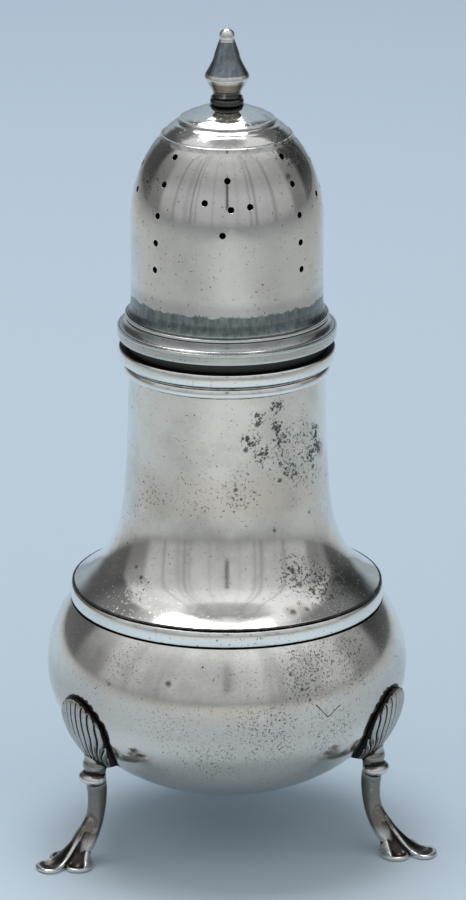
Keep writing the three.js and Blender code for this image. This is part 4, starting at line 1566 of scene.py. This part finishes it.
# %% Finish the bowl
BOWL_STAINS = [
    ((-7.9, -23.2, 29.4), 2.2, 0.5), ((-18.9, -14.8, 30.7), 3.0, 0.6), ((7.8, -23.1, 29.0), 3.2, 0.6),
]
BOWL_SPOTS = [
    ((-10.1, -22.2, 29.7), 0.75, 0.9), ((-17.8, -17.3, 28.1), 0.5, 0.8), ((6.5, -23.0, 30.7), 0.35, 0.9),
    ((7.2, -23.1, 29.8), 0.3, 0.9), ((8.1, -23.2, 28.6), 0.4, 0.9), ((9.2, -23.2, 27.1), 0.35, 0.9),
    ((7.0, -23.4, 28.2), 0.25, 0.8), ((8.8, -22.9, 29.3), 0.25, 0.8),
]
BOWL_SCRATCHES = [
    ((10.1, -23.0, 26.2), (11.8, -22.2, 24.1), 0.14),
    ((11.8, -22.2, 24.1), (13.6, -21.2, 25.4), 0.12),
]
BOWL_CORRODED = [
    ((9, -22, 30), 8, 0.55), ((16, -18, 31), 7, 0.5), ((3, -23.5, 23), 10, 0.42), ((-4, -22.5, 19), 8, 0.42),
    ((-16, -18, 31), 6, 0.35), ((12, -21, 22), 8, 0.4), ((-9, -22, 24), 9, 0.25), ((2, -24, 27), 9, 0.3),
]
BOWL_BELTS = [(14.5, 27.0, 2.5, (0.63, 0.575, 0.515), 0.9), (10.0, 20.5, 2.5, (0.93, 0.87, 0.8), 0.9)]

bowl_silver = silver(
    "bowl_silver", (0.95, 0.94, 0.9), pit_chance=0.4, fleck=0.3, stains=BOWL_STAINS, spots=BOWL_SPOTS,
    scratches=BOWL_SCRATCHES, corroded=BOWL_CORRODED, belts=BOWL_BELTS,
)
give(bowl_silver, bowl)

# %% Finish the neck
NECK_STAINS = [
    ((7.2, -18.3, 38.1), 1.6, 0.9), ((8.9, -17.6, 38.0), 1.8, 0.9), ((10.7, -16.7, 38.0), 1.5, 0.8),
    ((8.5, -12.2, 56.0), 3.4, 0.6), ((12.3, -6.5, 57.4), 2.2, 0.8), ((7.6, -11.9, 52.1), 2.6, 0.7),
    ((-10.5, -9.6, 51.5), 4.5, 0.6), ((-13.0, -5.5, 50.0), 3.0, 0.5), ((9.2, -11.5, 60.0), 2.5, 0.4),
]
NECK_SPOTS = [
    ((-0.1, -14.0, 54.5), 0.5, 0.9), ((6.1, -12.5, 55.2), 0.5, 0.9), ((5.3, -13.5, 48.3), 0.45, 0.9),
    ((10.4, -9.8, 49.5), 0.4, 0.8), ((-13.4, -9.2, 42.1), 0.45, 0.9), ((-12.9, -10.8, 41.1), 0.55, 0.9),
    ((2.9, -13.3, 63.5), 0.55, 0.9), ((1.3, -13.7, 60.0), 0.55, 0.9), ((5.5, -12.5, 62.7), 0.55, 0.9),
    ((11.9, -7.1, 58.1), 0.7, 0.9), ((11.1, -8.5, 55.7), 0.6, 0.9), ((7.4, -18.3, 38.1), 0.7, 0.8),
    ((9.5, -17.4, 38.2), 0.6, 0.8), ((7.7, -14.0, 42.6), 0.6, 0.9), ((8.7, -14.7, 40.7), 0.6, 0.8),
]
NECK_CORRODED = [
    ((3.0, -13.3, 64.6), 1.8, 0.8), ((5.8, -12.3, 65.5), 1.8, 0.9), ((5.7, -12.5, 63.0), 1.8, 1.0),
    ((6.2, -12.1, 61.0), 1.8, 1.0), ((2.0, -13.5, 61.3), 2.0, 0.9), ((11.4, -7.8, 60.6), 2.0, 1.0),
    ((11.9, -7.1, 58.4), 2.0, 1.0), ((10.8, -8.8, 57.5), 2.2, 1.0), ((3.6, -13.3, 59.1), 2.2, 0.9),
    ((7.6, -11.6, 56.3), 2.5, 0.9), ((7.6, -11.6, 59.5), 7.5, 0.55), ((10.0, -9.5, 56.0), 6.0, 0.5),
    ((-6.0, -12.6, 53.5), 5.5, 0.35), ((-11.0, -8.5, 52.0), 5.0, 0.3), ((0.0, -13.8, 54.0), 5.0, 0.4),
    ((8.0, -13.8, 42.0), 5.0, 0.6), ((13.0, -13.5, 40.0), 6.5, 0.75), ((-14.0, -12.5, 40.5), 4.0, 0.6),
]
NECK_BELTS = [
    (34.0, 36.8, 0.1, (0.96, 0.96, 0.93), 0.9), (67.6, 71.2, 0.1, (0.97, 0.98, 0.95), 0.95),
    (50.5, 56.0, 1.2, (0.74, 0.66, 0.55), 0.4),
]

neck_silver = silver(
    "neck_silver", (0.95, 0.94, 0.9), gloss=0.08, fleck=0.45, stains=NECK_STAINS, spots=NECK_SPOTS,
    corroded=NECK_CORRODED, belts=NECK_BELTS,
)
give(neck_silver, neck, band, collar)

# %% Finish the cover
CROWN_STAINS = [
    ((5.1, -5.5, 102.1), 1.5, 0.8), ((8.0, -5.5, 99.6), 1.4, 0.8), ((9.6, -4.6, 98.0), 1.3, 0.8),
    ((5.4, -2.2, 103.4), 1.4, 0.8), ((-10.6, -3.4, 97.1), 4.0, 0.8),
]
CROWN_SPOTS = [
    ((7.3, -8.5, 96.9), 0.8, 0.9), ((6.7, -6.7, 99.9), 0.9, 0.9), ((8.2, -6.2, 98.6), 0.7, 0.8),
]
CROWN_CORRODED = [((7.6, -5.5, 100), 4.5, 1.0), ((12.5, -8, 94), 3, 0.8), ((-12, -5, 96), 4, 0.7)]
DOME_BELTS = [(96.0, 100.5, 1.4, (0.36, 0.35, 0.33), 0.6), (77.0, 80.2, 0.8, (0.42, 0.44, 0.45), 0.5)]
RIM_BELTS = [(74.1, 75.4, 0.2, (0.36, 0.39, 0.39), 0.7)]
FINIAL_BELTS = [(104.5, 107.0, 0.3, (0.07, 0.075, 0.07), 0.97), (107.0, 108.3, 0.3, (0.26, 0.22, 0.15), 0.9)]

dome_silver = silver(
    "dome_silver", (0.87, 0.86, 0.84), gloss=0.06, haze=0.35, pit_chance=0.12, fleck=0.6, stains=CROWN_STAINS,
    spots=CROWN_SPOTS, corroded=CROWN_CORRODED, belts=DOME_BELTS,
)
# The rim and the sleeve take a dark colour that also serves as painted shade in the gap under the rim.
rim_silver = silver(
    "rim_silver", (0.68, 0.7, 0.68), gloss=0.15, worn=0.8, dark=(0.07, 0.075, 0.07), belts=RIM_BELTS,
)
finial_silver = silver(
    "finial_silver", (0.84, 0.85, 0.84), gloss=0.17, worn=0.6, film=(0.22, 0.26, 0.29), belts=FINIAL_BELTS,
)
give(dome_silver, dome)
give(rim_silver, rim, sleeve)
give(finial_silver, finial)

# %% Finish the legs
STEM_BROWN = (0.2, 0.185, 0.16)
SHELL_GREY = (0.42, 0.41, 0.385)
TOE_BROWN = (0.032, 0.025, 0.021)
LEG_BELTS = [(3.5, 11.3, 0.8, STEM_BROWN, 0.95), (12.6, 15.0, 0.4, STEM_BROWN, 0.8), (15, 30, 0.8, SHELL_GREY, 0.8)]

cast_silver = silver(
    "cast_silver", (0.74, 0.73, 0.71), gloss=0.18, haze=0.5, worn=0.8, pit_chance=0.6, film=TOE_BROWN,
    belts=LEG_BELTS,
)
give(cast_silver, *legs)

# %% [markdown]
# ## The studio
# Silver shows its surroundings more than itself. The pot stands on a pale blue-grey board whose colour
# carries painted light: it is painted lighter near the pot and nearly white in front of it, where the
# shadow falls and where the neck mirrors it, and painted darker towards the back and greyer at the
# sides. It is inside a light tent of white cloth, and one softbox hangs over it.

# %% Lay the board
BOARD_HALF = 3.0
# Painted light and shade in the board's colour: lighter near the pot and in front of it, darker at the back and at
# the sides.
BOARD_NEAR_PAINTED_LIGHT = (0.6, 0.7, 0.78)
BOARD_MIDDLE = (0.475, 0.57, 0.655)
BOARD_FAR_PAINTED_SHADE = (0.4, 0.475, 0.6)
BOARD_FRONT_PAINTED_LIGHT = (0.72, 0.73, 0.71)
BOARD_SIDES_PAINTED_SHADE = (0.49, 0.495, 0.485)
FAR_FROM = (0.0, 0.9)
NEAR_UP_TO = (-0.06, 0.03)
FRONT_UP_TO = (-0.17, -0.05)
SIDES_FROM = (0.06, 0.28)
SIDES_SPREAD = 0.1
FIBRE = (1.5, 5.0, 0.7)
FIBRE_SHADE = (0.97, 0.97, 0.97)
WHITE = (1.0, 1.0, 1.0)
BOARD_ROUGHNESS = 0.6
BOARD_SPECULAR = 0.2


def multiplied(tree, first, second):
    return add(tree, "Mix", {0: 1.0, 6: first, 7: second}, data_type="RGBA", blend_type="MULTIPLY").outputs[2]


def board_material():
    material = bpy.data.materials.new("pale_board")
    material.use_nodes = True
    tree = material.node_tree
    shader = tree.nodes["Principled BSDF"]
    place = add(tree, "TexCoord").outputs["Object"]
    across, depth, _ = add(tree, "SeparateXYZ", {0: place}).outputs
    outwards = maths(tree, "SUBTRACT", maths(tree, "ABSOLUTE", across), product(tree, depth, SIDES_SPREAD))
    # The board's colour paints light and shade: darker towards the back and at the sides, lighter near the pot and
    # in front of it.
    colour = mixed(tree, step_up(tree, depth, *FAR_FROM), BOARD_MIDDLE, BOARD_FAR_PAINTED_SHADE)
    colour = mixed(tree, step_down(tree, depth, *NEAR_UP_TO), colour, BOARD_NEAR_PAINTED_LIGHT)
    colour = mixed(tree, step_down(tree, depth, *FRONT_UP_TO), colour, BOARD_FRONT_PAINTED_LIGHT)
    colour = mixed(tree, step_up(tree, outwards, *SIDES_FROM), colour, BOARD_SIDES_PAINTED_SHADE)
    fibre = mixed(tree, field(tree, place, *FIBRE), FIBRE_SHADE, WHITE)
    tree.links.new(multiplied(tree, colour, fibre), shader.inputs["Base Color"])
    shader.inputs["Roughness"].default_value = BOARD_ROUGHNESS
    shader.inputs["Specular IOR Level"].default_value = BOARD_SPECULAR
    return material


board_bm = bmesh.new()
bmesh.ops.create_grid(board_bm, x_segments=1, y_segments=1, size=BOARD_HALF)
board_mesh = bpy.data.meshes.new("board")
board_bm.to_mesh(board_mesh)
board_bm.free()
board = bpy.data.objects.new("board", board_mesh)
board_mesh.materials.append(board_material())
bpy.context.scene.collection.objects.link(board)
board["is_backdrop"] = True
print("board is", 2 * BOARD_HALF, "m wide")

# %% [markdown]
# The world is the tent. `TENT` gives the brightness of each part at some heights, from 0 at the
# horizon to 1 overhead, and the part's tint. The front is bright and even, the sides go down to a dark
# part behind them, which is less dark on the left, and the back is pale blue. `TENT_ORDER` says
# between which two angles, counted from the middle of the front, one part gives way to the next.

# %% Shade the tent
TENT = {
    "front": ([
        (0, 0.33), (0.06, 0.42), (0.17, 0.45), (0.5, 0.52), (0.64, 0.62), (0.72, 0.75), (0.92, 0.85),
        (0.955, 0.5), (0.995, 0.35), (1, 0.8),
    ], (0.98, 1, 1.02)),
    "side": ([(0, 0.2), (0.17, 0.22), (0.5, 0.35), (0.64, 0.6), (0.9, 0.8), (1, 0.8)], (0.99, 1, 1.01)),
    "dark": ([
        (0, 0.1), (0.17, 0.06), (0.4, 0.03), (0.5, 0.05), (0.62, 0.15), (0.88, 0.2), (0.95, 0.6), (1, 0.8),
    ], (0.96, 1, 1.03)),
    "left": ([
        (0, 0.12), (0.3, 0.1), (0.5, 0.08), (0.62, 0.16), (0.78, 0.22), (0.87, 0.55), (0.95, 0.75), (1, 0.8),
    ], (0.97, 1, 1.02)),
    "back": ([(0, 0.36), (0.3, 0.45), (0.7, 0.5), (1, 0.8)], (0.84, 1, 1.12)),
}
TENT_ORDER = [("side", 84, 93), ("dark", 110, 120), ("left", 110, 120), ("back", 146, 158)]


def upward(tree, height, stops, tint):
    """A colour for each height above the horizon, from a list of stops."""
    ramp = add(tree, "ValToRGB", {0: height})
    elements = ramp.color_ramp.elements
    while len(elements) < len(stops):
        elements.new(0.5)
    for element, (position, value) in zip(elements, stops):
        element.position = position
        element.color = (*(value * part for part in tint), 1)
    return ramp.outputs["Color"]


world = bpy.data.worlds.new("tent")
bpy.context.scene.world = world
world.use_nodes = True
sky = world.node_tree
x, y, z = add(sky, "SeparateXYZ", {0: add(sky, "TexCoord").outputs["Generated"]}).outputs
turn = maths(sky, "ARCTAN2", x, maths(sky, "MULTIPLY", y, -1.0))
azimuth = total(sky, product(sky, turn, 180 / math.pi), -math.degrees(CAMERA_SIDE))
aside = maths(sky, "ABSOLUTE", azimuth)
cloth = upward(sky, z, *TENT["front"])
for name, start, end in TENT_ORDER:
    angle = maths(sky, "MULTIPLY", azimuth, -1.0) if name == "left" else aside
    cloth = mixed(sky, step_up(sky, angle, start, end), cloth, upward(sky, z, *TENT[name]))
print("parts of the tent:", list(TENT))

# %% [markdown]
# Soft folds run up the cloth, and there is a narrow slit in its front, which shows in the silver as a
# dark line. Each crease has its angle, half its width and its depth. The slit fades beyond the `inner`
# share of its half width, and over `ends` degrees either way at its two ends.

# %% Fold the tent's cloth
FOLDS = {"scale": 0.07, "detail": 3.0, "depth": 0.2}
CREASES = [
    (-45, 2.5, 0.45), (-39, 1.5, 0.35), (-52, 6, 0.2), (29, 1.8, 0.4), (36, 3, 0.4), (-68, 3, 0.35), (61, 4, 0.35),
    (13, 1.5, 0.16), (-18, 2, 0.2),
]
SLIT = {"half_width": 2.2, "inner": 0.6, "low": 13, "high": 42, "ends": 2, "depth": 0.8}


def darkened(tree, level, mask, depth):
    """The level, less a share of it where the mask is 1."""
    return product(tree, level, maths(tree, "SUBTRACT", 1.0, product(tree, mask, depth)))


def slit_end(angle):
    """The two heights between which an end of the slit fades."""
    return [math.sin(math.radians(angle + d)) for d in (-SLIT["ends"], SLIT["ends"])]


noise_sockets = {"W": azimuth, "Scale": FOLDS["scale"], "Detail": FOLDS["detail"]}
fold = add(sky, "TexNoise", noise_sockets, noise_dimensions="1D").outputs["Fac"]
level = total(sky, product(sky, fold, FOLDS["depth"]), 1 - FOLDS["depth"] / 2)
for centre, half_width, depth in CREASES:
    near = step_down(sky, maths(sky, "ABSOLUTE", total(sky, azimuth, -centre)), 0.0, half_width)
    level = darkened(sky, level, near, depth)
in_slit = product(
    sky,
    step_down(sky, aside, SLIT["half_width"] * SLIT["inner"], SLIT["half_width"]),
    step_up(sky, z, *slit_end(SLIT["low"])),
    step_down(sky, z, *slit_end(SLIT["high"])),
)
level = darkened(sky, level, in_slit, SLIT["depth"])
folds = add(sky, "CombineColor", {"Red": level, "Green": level, "Blue": level}).outputs[0]
background = sky.nodes["Background"]
sky.links.new(multiplied(sky, cloth, folds), background.inputs["Color"])
background.inputs["Strength"].default_value = 1.0
print("creases in the cloth:", len(CREASES))

# %% Hang the softbox
SOFTBOX_PLACE = (-0.05, 0.27, 0.85)
SOFTBOX_SIZE = (0.58, 0.52)
SOFTBOX_POWER = 4.75

lamp = bpy.data.lights.new("softbox", "AREA")
lamp.shape = "RECTANGLE"
lamp.size, lamp.size_y = SOFTBOX_SIZE
lamp.energy = SOFTBOX_POWER
softbox = bpy.data.objects.new("softbox", lamp)
softbox.location = SOFTBOX_PLACE
bpy.context.scene.collection.objects.link(softbox)
bpy.context.scene.view_settings.view_transform = "Standard"
print("softbox of", SOFTBOX_POWER, "W")

# %% [markdown]
# ## Finish
# The CAD box and the box of the dressed pot are compared, and how far the dressed pot has grown on
# each axis is printed, in millimetres.

# %% Compare the sizes
visual_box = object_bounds()
sizes = zip(visual_box[1] - visual_box[0], cad_box[1] - cad_box[0])
print("grown by (mm):", [round((visual - cad) / MM, 3) for visual, cad in sizes])
